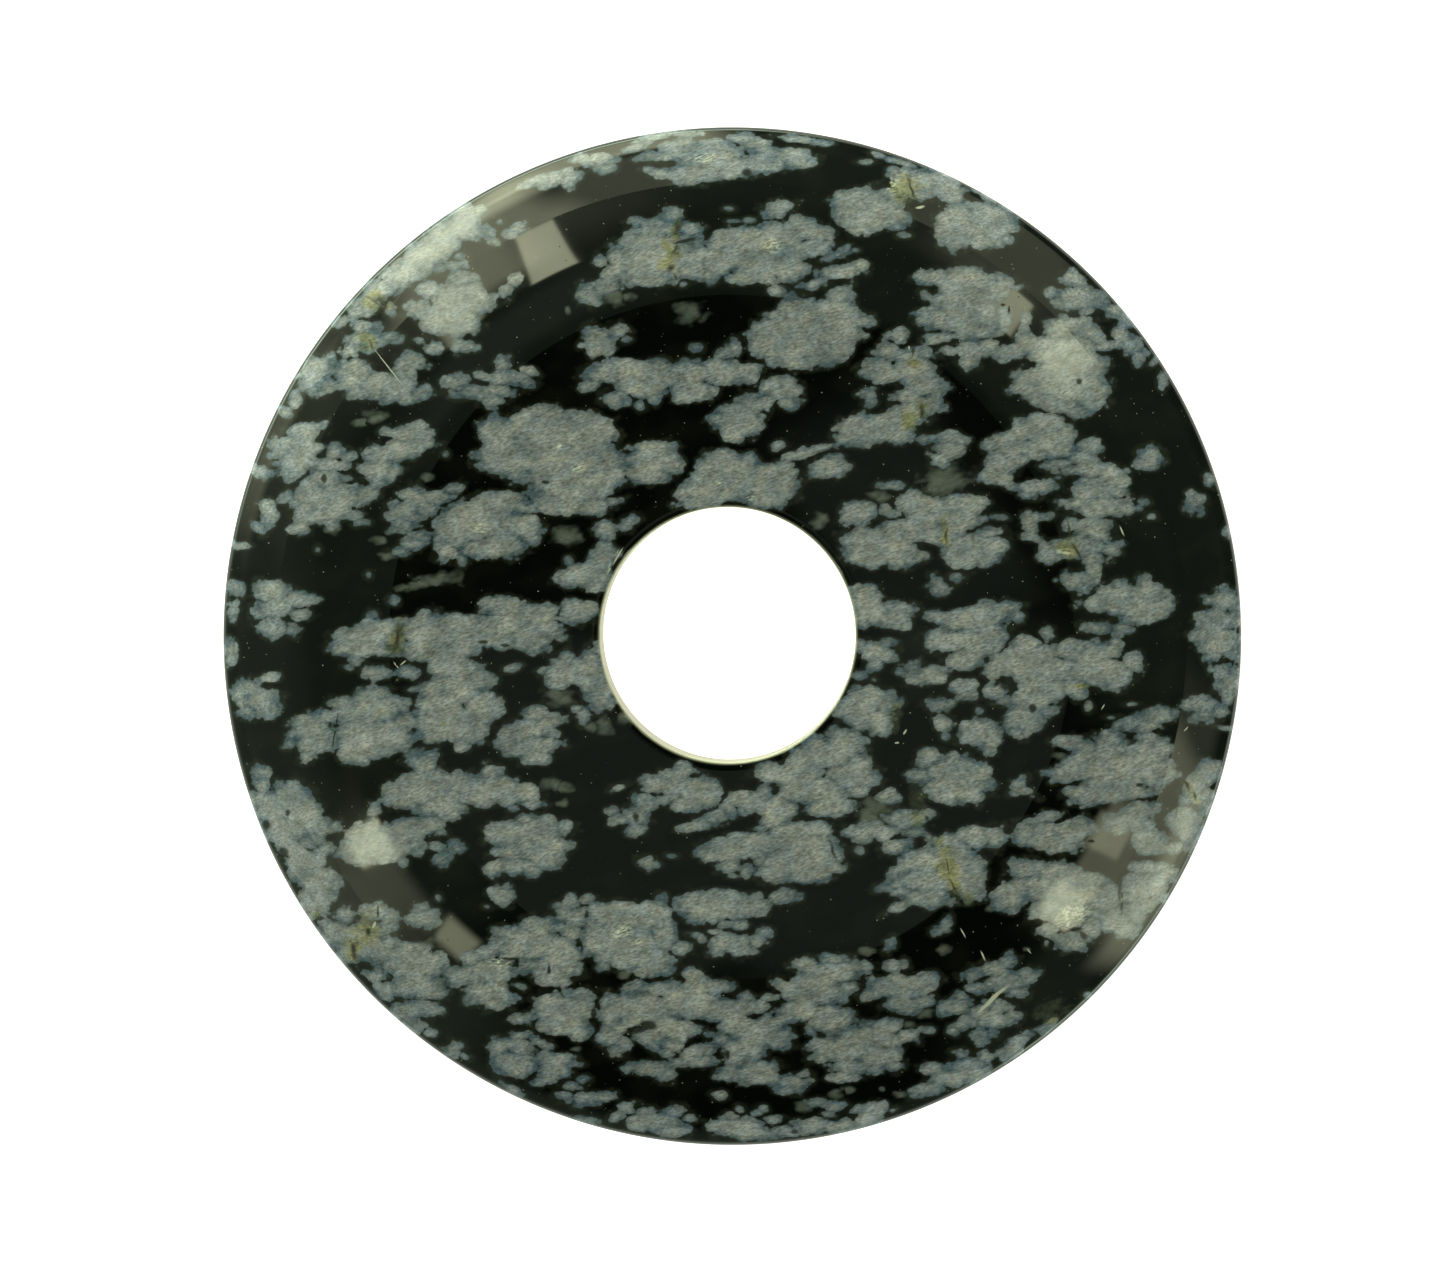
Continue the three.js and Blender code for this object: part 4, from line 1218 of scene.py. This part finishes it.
@dataclass
class Donut:
    """The stone: one closed surface of revolution, with its snowflakes as attributes of its corners."""

    section: Section
    view: View
    finish: SnowflakeObsidian
    turns: int = 512
    flake_depth: float = 0.6 * MM
    mark_depth: float = 1.5 * MM
    search_margin: float = 0.5 * MM

    def build(self) -> bpy.types.Object:
        """Builds the mesh, marks its creases, writes its attributes and dresses it.

        A vertex is (r cos t, r sin t, z) for each point (r, z) of the section and each turn t, then moved
        by the hole's drift.

        Returns:
            The object.
        """
        profile, creases = self.section.loop()
        rows = len(profile)
        turn = np.arange(self.turns) * (2 * math.pi / self.turns)
        radius, height = profile[:, :1], np.repeat(profile[:, 1:], self.turns, axis=1)
        grid = np.stack([radius * np.cos(turn), radius * np.sin(turn), height], axis=2)
        points = self.section.drifted(grid.reshape(-1, 3))
        row, step = np.meshgrid(np.arange(rows), np.arange(self.turns), indexing="ij")
        after_row, after_step = (row + 1) % rows, (step + 1) % self.turns
        faces = np.stack(
            [
                row * self.turns + step,
                after_row * self.turns + step,
                after_row * self.turns + after_step,
                row * self.turns + after_step,
            ],
            axis=2,
        ).reshape(-1, 4)
        mesh = bpy.data.meshes.new("donut_stone")
        mesh.from_pydata(points, [], faces)
        mesh.shade_smooth()
        self._mark_creases(mesh, creases)
        self._write_attributes(mesh, points, faces)
        mesh.materials.append(self.finish.build())
        piece = bpy.data.objects.new("donut_stone", mesh)
        bpy.context.scene.collection.objects.link(piece)
        return piece

    def _mark_creases(self, mesh: bpy.types.Mesh, creases: list[int]) -> None:
        """Marks the edges that run round the stone at the creases as sharp."""
        ends = np.empty(len(mesh.edges) * 2, np.int32)
        mesh.edges.foreach_get("vertices", ends)
        rows = ends.reshape(-1, 2) // self.turns
        sharp = (rows[:, 0] == rows[:, 1]) & np.isin(rows[:, 0], creases)
        mesh.attributes.new("sharp_edge", "BOOLEAN", "EDGE").data.foreach_set("value", sharp)

    def _measured(self, points: np.ndarray, reach: Reach) -> np.ndarray:
        """Gives points with their height measured as reach says."""
        if reach is Reach.SOLID:
            return points
        face = self.section.face_height(np.hypot(points[:, 0], points[:, 1]))
        below = np.minimum(points[:, 2] - face, 0)
        return np.column_stack([points[:, :2], below])

    def _nearest(
        self, centres: np.ndarray, families: list[Ellipsoids], count: int
    ) -> tuple[np.ndarray, np.ndarray]:
        """Finds the ellipsoids that each face is deepest in, or nearest to.

        Args:
            centres: The middles of the faces.
            families: The ellipsoids.
            count: How many to find for each face.

        Returns:
            The family and the row of each one found, as two arrays with a row for each face.
        """
        best = np.full((len(centres), count), -1.0)
        family = np.zeros((len(centres), count), int)
        number = np.full((len(centres), count), -1)
        for f, ellipsoids in enumerate(families):
            measured = self._measured(centres, ellipsoids.reach)
            for e, size in enumerate(ellipsoids.sizes):
                reach = ellipsoids.halves[e, :2].max() + self.search_margin
                apart = np.abs(measured[:, :2] - ellipsoids.centres[e, :2]).max(axis=1)
                near = np.flatnonzero(apart < reach)
                length = np.linalg.norm(ellipsoids.inside(measured[near], e), axis=1)
                depth = (1 - length) * size
                better = depth > best[near, -1]
                chosen = near[better]
                best[chosen, -1] = depth[better]
                family[chosen, -1] = f
                number[chosen, -1] = e
                order = np.argsort(-best[chosen], axis=1)
                for table in (best, family, number):
                    table[chosen] = np.take_along_axis(table[chosen], order, axis=1)
        return family, number

    def _write_attributes(self, mesh: bpy.types.Mesh, points: np.ndarray, faces: np.ndarray) -> None:
        """Writes the place inside the nearest ellipsoids of each kind to the corners of the faces."""
        read = [lobe for group in SNOWFLAKES.values() for lobe in group]
        snowflakes = [
            Ellipsoids.read(read, self.view, self.flake_depth),
            SnowflakeGrowth(self.section).grow(SEED),
        ]
        corners = points[faces.ravel()]
        centres = points[faces].mean(axis=1)
        family, number = self._nearest(centres, snowflakes, 3)
        sizes = np.ones((len(corners), 3))
        for slot in range(3):
            place, size = self._placed(corners, snowflakes, family[:, slot], number[:, slot])
            sizes[:, slot] = size / MM
            self._write(mesh, f"flake_{slot + 1}", place)
        self._write(mesh, "flake_sizes", sizes)
        for name, mark in MARKS.items():
            ellipsoids = [Ellipsoids.read(mark.rows, self.view, self.mark_depth)]
            family, number = self._nearest(centres, ellipsoids, 1)
            place, _ = self._placed(corners, ellipsoids, family[:, 0], number[:, 0])
            self._write(mesh, name, place)
        # drilled marks the hole's wall: the material makes it satin and paints the white table's reflection
        # on it in cream.
        off_wall = np.hypot(*(corners[:, :2] - self.section.hole_drift).T) - self.section.hole_radius
        drilled = (np.clip(1 - off_wall / self.section.hole_round, 0, 1) ** 2).astype(np.float32)
        mesh.attributes.new("drilled", "FLOAT", "CORNER").data.foreach_set("value", drilled)

    def _placed(
        self, corners: np.ndarray, families: list[Ellipsoids], family: np.ndarray, number: np.ndarray
    ) -> tuple[np.ndarray, np.ndarray]:
        """Gives each corner's place inside the ellipsoid that its face chose.

        Args:
            corners: The corners' points, four to a face.
            families: The ellipsoids.
            family: The family that each face chose.
            number: The ellipsoid in it, or -1 for none.

        Returns:
            The places, far outside where there is none, and the sizes of the ellipsoids.
        """
        far_outside = 9.0
        place = np.full((len(corners), 3), far_outside)
        size = np.full(len(corners), 1.0 * MM)
        family, number = np.repeat(family, 4), np.repeat(number, 4)
        for f, ellipsoids in enumerate(families):
            mine = (family == f) & (number >= 0)
            place[mine] = ellipsoids.inside(self._measured(corners[mine], ellipsoids.reach), number[mine])
            size[mine] = ellipsoids.sizes[number[mine]]
        return place, size

    @staticmethod
    def _write(mesh: bpy.types.Mesh, name: str, values: np.ndarray) -> None:
        """Writes one vector for each corner to a new attribute."""
        attribute = mesh.attributes.new(name, "FLOAT_VECTOR", "CORNER")
        attribute.data.foreach_set("vector", values.astype(np.float32).ravel())


@dataclass(frozen=True)
class Softbox:
    """A lamp's diffuser, placed where the polished stone mirrors it at one place of the photograph.

    heading and radius are the middle of its reflection, in degrees anticlockwise from the right and in
    pixels from the middle of the stone. depth is how far the reflection reaches along the radius, and
    width how far it reaches round the stone, in pixels. radiance is relative to a white sheet at 1. The
    fades are the shares of its half depth and half width over which it dims towards its edges.
    """

    name: str
    heading: float
    radius: float
    depth: float
    width: float
    radiance: float
    depth_fade: float = 0.15
    width_fade: float = 0.15
    colour: str = "#fbffd6"
    distance: float = 0.9

    def build(self, view: View) -> bpy.types.Object:
        """Makes the lamp.

        Its middle lies on the mirrored sight line of the middle pixel. Its sides follow from how fast the
        mirrored sight lines turn from pixel to pixel there, along the radius and round it.
        """
        heading = math.radians(self.heading)
        outward = np.array([math.cos(heading), -math.sin(heading)])
        around = np.array([-outward[1], outward[0]])
        steps = np.stack([-outward, outward, -around, around, outward * 0])
        pixels = (view.disc_x, view.disc_y) + self.radius * outward + steps
        points = view.on_stone(pixels[:, 0], pixels[:, 1])
        ends = points + view.mirrored(points) * self.distance
        sight = view.mirrored(points)[4]
        data = bpy.data.lights.new(self.name, "AREA")
        data.shape = "RECTANGLE"
        data.color = linear(self.colour)[:3]
        data.size = float(np.linalg.norm(ends[3] - ends[2])) / 2 * self.width
        data.size_y = float(np.linalg.norm(ends[1] - ends[0])) / 2 * self.depth
        data.energy = self.radiance * math.pi * data.size * data.size_y
        self._fade(data)
        lamp = bpy.data.objects.new(self.name, data)
        bpy.context.scene.collection.objects.link(lamp)
        across = np.cross(ends[1] - ends[0], sight)
        across /= np.linalg.norm(across)
        lamp.matrix_world = placed(np.stack([across, np.cross(sight, across), sight], axis=1), ends[4])
        lamp.visible_camera = False
        return lamp

    def _fade(self, data: bpy.types.AreaLight) -> None:
        """Makes the lamp fade to nothing towards its edges, as cloth in front of a bulb does."""
        data.use_nodes = True
        tree = data.node_tree
        tree.nodes.clear()
        spot = add_node(tree, "NewGeometry", output="Parametric")
        middle = (0.5, 0.5, 0.0)
        offset = add_node(tree, "VectorMath", {"operation": "SUBTRACT"}, spot, middle)
        sides = add_node(tree, "SeparateXYZ", None, offset).node.outputs
        strength = 1.0
        for axis, fade in (("X", self.width_fade), ("Y", self.depth_fade)):
            away = add_node(tree, "Math", {"operation": "ABSOLUTE"}, sides[axis])
            ramp = add_node(tree, "MapRange", SMOOTH_STEP, away, 0.5, 0.5 - fade / 2)
            strength = add_node(tree, "Math", MULTIPLY, strength, ramp)
        shader = add_node(tree, "Emission", Strength=strength)
        add_node(tree, "OutputLight", Surface=shader)


# Four lamps stand at the corners of the table. Each shows as a pair of bright patches, with a glow round
# them and a haze beyond, where the bevel mirrors it lower down. The lit parts of the ceiling show as a
# dim fog on the flat of the stone, and the camera itself leaves the rest of the flat black.
SOFTBOXES: list[Softbox] = [
    Softbox("lamp_upper_left_a", 116.0, 428, 50, 48, 6.4, 0.1, 0.1),
    Softbox("lamp_upper_left_b", 131.1, 426, 48, 50, 3.5, 0.2, 0.3),
    Softbox("lamp_upper_right_a", 49.5, 428, 42, 34, 5.0, 0.15, 0.2),
    Softbox("lamp_upper_right_b", 40.3, 433, 48, 44, 8.2, 0.3, 0.4),
    Softbox("lamp_lower_right_a", -28.0, 426, 44, 44, 2.2, 0.3, 0.3),
    Softbox("lamp_lower_right_b", -39.5, 427, 44, 44, 11.5, 0.3, 0.4),
    Softbox("lamp_lower_left_a", 210.0, 418, 44, 44, 9.0, 0.3, 0.4),
    Softbox("lamp_lower_left_b", 227.7, 410, 38, 44, 3.6, 0.6, 0.3),
    Softbox("glow_upper_left", 125.0, 440, 56, 180, 2.6, 0.6, 0.8),
    Softbox("glow_round_upper_left", 123.0, 446, 84, 480, 0.34, 1.0, 0.6),
    Softbox("glow_upper_right", 54.0, 446, 64, 230, 0.7, 1.0, 0.9),
    Softbox("glow_lower_right", -29.0, 440, 62, 120, 1.9, 0.3, 0.5),
    Softbox("glow_lower_left", 215.0, 436, 84, 200, 1.0, 0.5, 0.9),
    Softbox("haze_upper_left", 124.0, 474, 54, 240, 3.0, 0.2, 0.5),
    Softbox("haze_top", 104.0, 470, 50, 170, 0.9, 0.3, 0.5),
    Softbox("haze_upper_left_rim", 124.0, 496, 34, 310, 5.0, 0.7, 0.7),
    Softbox("haze_top_rim", 106.0, 501, 18, 330, 4.6, 0.4, 0.4),
    Softbox("haze_left", 152.0, 474, 54, 320, 0.3, 0.3, 0.6),
    Softbox("haze_left_rim", 155.0, 499, 26, 320, 1.5, 0.7, 0.7),
    Softbox("haze_upper_right", 56.0, 476, 60, 300, 0.85, 0.1, 0.6),
    Softbox("haze_lower_right", -27.0, 474, 54, 250, 1.6, 0.2, 0.35),
    Softbox("haze_lower_right_rim", -30.0, 496, 44, 240, 2.8, 0.8, 0.4),
    Softbox("haze_lower_left", 211.0, 474, 54, 210, 0.6, 0.2, 0.6),
    Softbox("haze_right", -13.0, 474, 60, 170, 0.42, 0.6, 0.9),
    Softbox("ceiling_upper_left", 126.0, 376, 54, 380, 0.16, 0.6, 0.6, "#ecffe6"),
    Softbox("ceiling_over_lower_flat", 270.0, 165, 360, 700, 0.22, 0.12, 0.1, "#ecffe6"),
    Softbox("ceiling_over_right_flat", 33.0, 205, 200, 330, 0.2, 0.4, 0.5, "#ecffe6"),
]


@dataclass(frozen=True)
class Table:
    """The table: a wide sheet of white acrylic, lit from above and a little from below."""

    half_side: float = 6.0
    white: str = "#f4f4f4"
    roughness: float = 0.9
    backlight: float = 1.0
    gap: float = 0.01 * MM

    def build(self) -> bpy.types.Object:
        """Builds the sheet just under the stone."""
        mesh = bpy.data.meshes.new("table")
        signs = np.array([(-1, -1), (1, -1), (1, 1), (-1, 1)])
        corners = np.column_stack([signs * self.half_side, np.full(len(signs), -self.gap)])
        mesh.from_pydata(corners, [], [(0, 1, 2, 3)])
        mesh.materials.append(self._acrylic())
        sheet = bpy.data.objects.new("table", mesh)
        bpy.context.scene.collection.objects.link(sheet)
        return sheet

    def _acrylic(self) -> bpy.types.Material:
        """Makes the sheet's material, matt white acrylic with light behind it."""
        material = bpy.data.materials.new("white_acrylic_backlit")
        material.use_nodes = True
        tree = material.node_tree
        tree.nodes.clear()
        shader = add_node(
            tree,
            "BsdfPrincipled",
            Base_Color=linear(self.white),
            Roughness=self.roughness,
            Emission_Color=linear("#ffffff"),
            Emission_Strength=self.backlight,
        )
        add_node(tree, "OutputMaterial", Surface=shader)
        return material


@dataclass(frozen=True)
class Room:
    """The dim room round the table, as the polished stone mirrors it.

    The shoulder mirrors the upper walls, and the steeper bevel the lower walls. The rim mirrors the
    horizon and the far ends of the table, where two far lamps stand opposite each other. The camera is
    before the dark ceiling, and the walls at the foot of the picture are dark too. Strengths are relative
    to a white sheet at 1, and of the two of a wall or the horizon, the first is towards the right and the
    second towards the left. Tilts are degrees away from straight up, and headings are degrees
    anticlockwise from the right.
    """

    colour: str = "#e4ffdc"
    ceiling: float = 0.014
    upper_walls: float = 0.17
    lower_walls: tuple[float, float] = (0.17, 0.36)
    horizon: tuple[float, float] = (0.12, 0.36)
    far_end: float = 1.4
    far_lamps: tuple[float, float] = (14.0, 7.0)
    far_lamps_heading: float = 125.0
    far_lamps_narrow: float = 0.6
    ceiling_tilts: tuple[float, float] = (2.5, 8.0)
    wall_tilts: tuple[float, float] = (20.0, 27.0)
    horizon_tilts: tuple[float, float] = (60.0, 72.0)
    far_tilts: tuple[float, float] = (74.0, 84.0)
    dark_upper_wall: tuple[float, float] = (286.0, 58.0)
    dark_lower_wall: tuple[float, float] = (269.0, 29.0)
    softness: float = 7.0

    def build(self) -> None:
        """Makes the world, from the direction of each ray.

        Its strength is the ceiling's, with that of each zone on top: the upper and the lower walls beside
        their dark parts, the horizon, the far ends of the table, and the far lamps beside the dark lower
        wall. A zone starts where one pair of tilts fades it in, and the next pair fades it out.
        """
        world = bpy.data.worlds.new("room")
        world.use_nodes = True
        tree = world.node_tree
        tree.nodes.clear()
        direction = add_node(tree, "TexCoord", output="Generated")
        height = add_node(tree, "SeparateXYZ", None, direction, output="Z")
        level = add_node(tree, "VectorMath", MULTIPLY, direction, (1.0, 1.0, 0.0))
        heading = add_node(tree, "VectorMath", {"operation": "NORMALIZE"}, level)
        below_ceiling = self._below(tree, height, self.ceiling_tilts)
        below_upper = self._below(tree, height, self.wall_tilts)
        below_lower = self._below(tree, height, self.horizon_tilts)
        at_far_end = self._below(tree, height, self.far_tilts)
        above_lower = add_node(tree, "MapRange", SMOOTH_STEP, below_lower, 1.0, 0.0)
        above_far_end = add_node(tree, "MapRange", SMOOTH_STEP, at_far_end, 1.0, 0.0)
        above_walls = add_node(tree, "MapRange", SMOOTH_STEP, below_upper, 1.0, 0.0)
        beside_upper = self._beside(tree, heading, self.dark_upper_wall)
        beside_lower = self._beside(tree, heading, self.dark_lower_wall)
        zones = (
            (self.upper_walls, below_ceiling, above_walls, beside_upper),
            (self._leftward(tree, heading, self.lower_walls), below_upper, above_lower, beside_lower),
            (self._leftward(tree, heading, self.horizon), below_lower, above_far_end),
            (self.far_end, at_far_end),
            (self._along_lamps(tree, heading), at_far_end, beside_lower),
        )
        strength = self.ceiling
        for zone_strength, *shares in zones:
            for share in shares:
                zone_strength = add_node(tree, "Math", MULTIPLY, zone_strength, share)
            strength = add_node(tree, "Math", None, strength, zone_strength)
        shader = add_node(tree, "Background", Color=linear(self.colour), Strength=strength)
        add_node(tree, "OutputWorld", Surface=shader)
        bpy.context.scene.world = world

    @staticmethod
    def _below(
        tree: bpy.types.NodeTree, height: bpy.types.NodeSocket, tilts: tuple[float, float]
    ) -> bpy.types.NodeSocket:
        """Gives 0 where a direction tilts less than the first tilt, and 1 where more than the second."""
        high, low = (math.cos(math.radians(tilt)) for tilt in tilts)
        return add_node(tree, "MapRange", SMOOTH_STEP, height, high, low)

    def _beside(
        self, tree: bpy.types.NodeTree, heading: bpy.types.NodeSocket, dark: tuple[float, float]
    ) -> bpy.types.NodeSocket:
        """Gives 0 towards a dark wall, which has a heading and a half width in degrees, and 1 beside it."""
        middle, half_width = (math.radians(angle) for angle in dark)
        towards = (math.cos(middle), math.sin(middle), 0.0)
        along = add_node(tree, "VectorMath", {"operation": "DOT_PRODUCT"}, heading, towards)
        soft = math.radians(self.softness)
        ends = (math.cos(half_width - soft), math.cos(half_width + soft))
        return add_node(tree, "MapRange", SMOOTH_STEP, along, *ends)

    def _along_lamps(self, tree: bpy.types.NodeTree, heading: bpy.types.NodeSocket) -> bpy.types.NodeSocket:
        """Gives 0 across the line between the two far lamps, and the strength of each towards it.

        Each strength rises as a smooth step of the cosine of the angle from its lamp.
        """
        line = math.radians(self.far_lamps_heading)
        towards = (math.cos(line), math.sin(line), 0.0)
        along = add_node(tree, "VectorMath", {"operation": "DOT_PRODUCT"}, heading, towards)
        total = 0.0
        for side, strength in zip((1.0, -1.0), self.far_lamps):
            steps = (self.far_lamps_narrow * side, side, 0.0, strength)
            lamp = add_node(tree, "MapRange", SMOOTH_STEP, along, *steps)
            total = add_node(tree, "Math", None, total, lamp)
        return total

    @staticmethod
    def _leftward(
        tree: bpy.types.NodeTree, heading: bpy.types.NodeSocket, ends: tuple[float, float]
    ) -> bpy.types.NodeSocket:
        """Gives the first value towards the right and the second towards the left."""
        across = add_node(tree, "SeparateXYZ", None, heading, output="X")
        return add_node(tree, "MapRange", None, across, 1.0, -1.0, *ends)


def main() -> None:
    """Builds the stone, the table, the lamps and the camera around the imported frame."""
    logging.basicConfig(level=logging.INFO, format="%(message)s")
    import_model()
    bpy.context.scene.view_settings.view_transform = "Standard"

    low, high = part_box("donut")
    section = Section(rim_radius=(high[0] - low[0]) / 2, thickness=high[2] - low[2])
    view = View(section)
    view.build()

    stone = Donut(section, view, SnowflakeObsidian()).build()
    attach(stone, "root")
    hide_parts("donut")

    Table().build()
    Room().build()
    for softbox in SOFTBOXES:
        softbox.build(view)
    LOG.info("table, camera and %d lamps", len(SOFTBOXES))


if __name__ == "__main__":
    main()
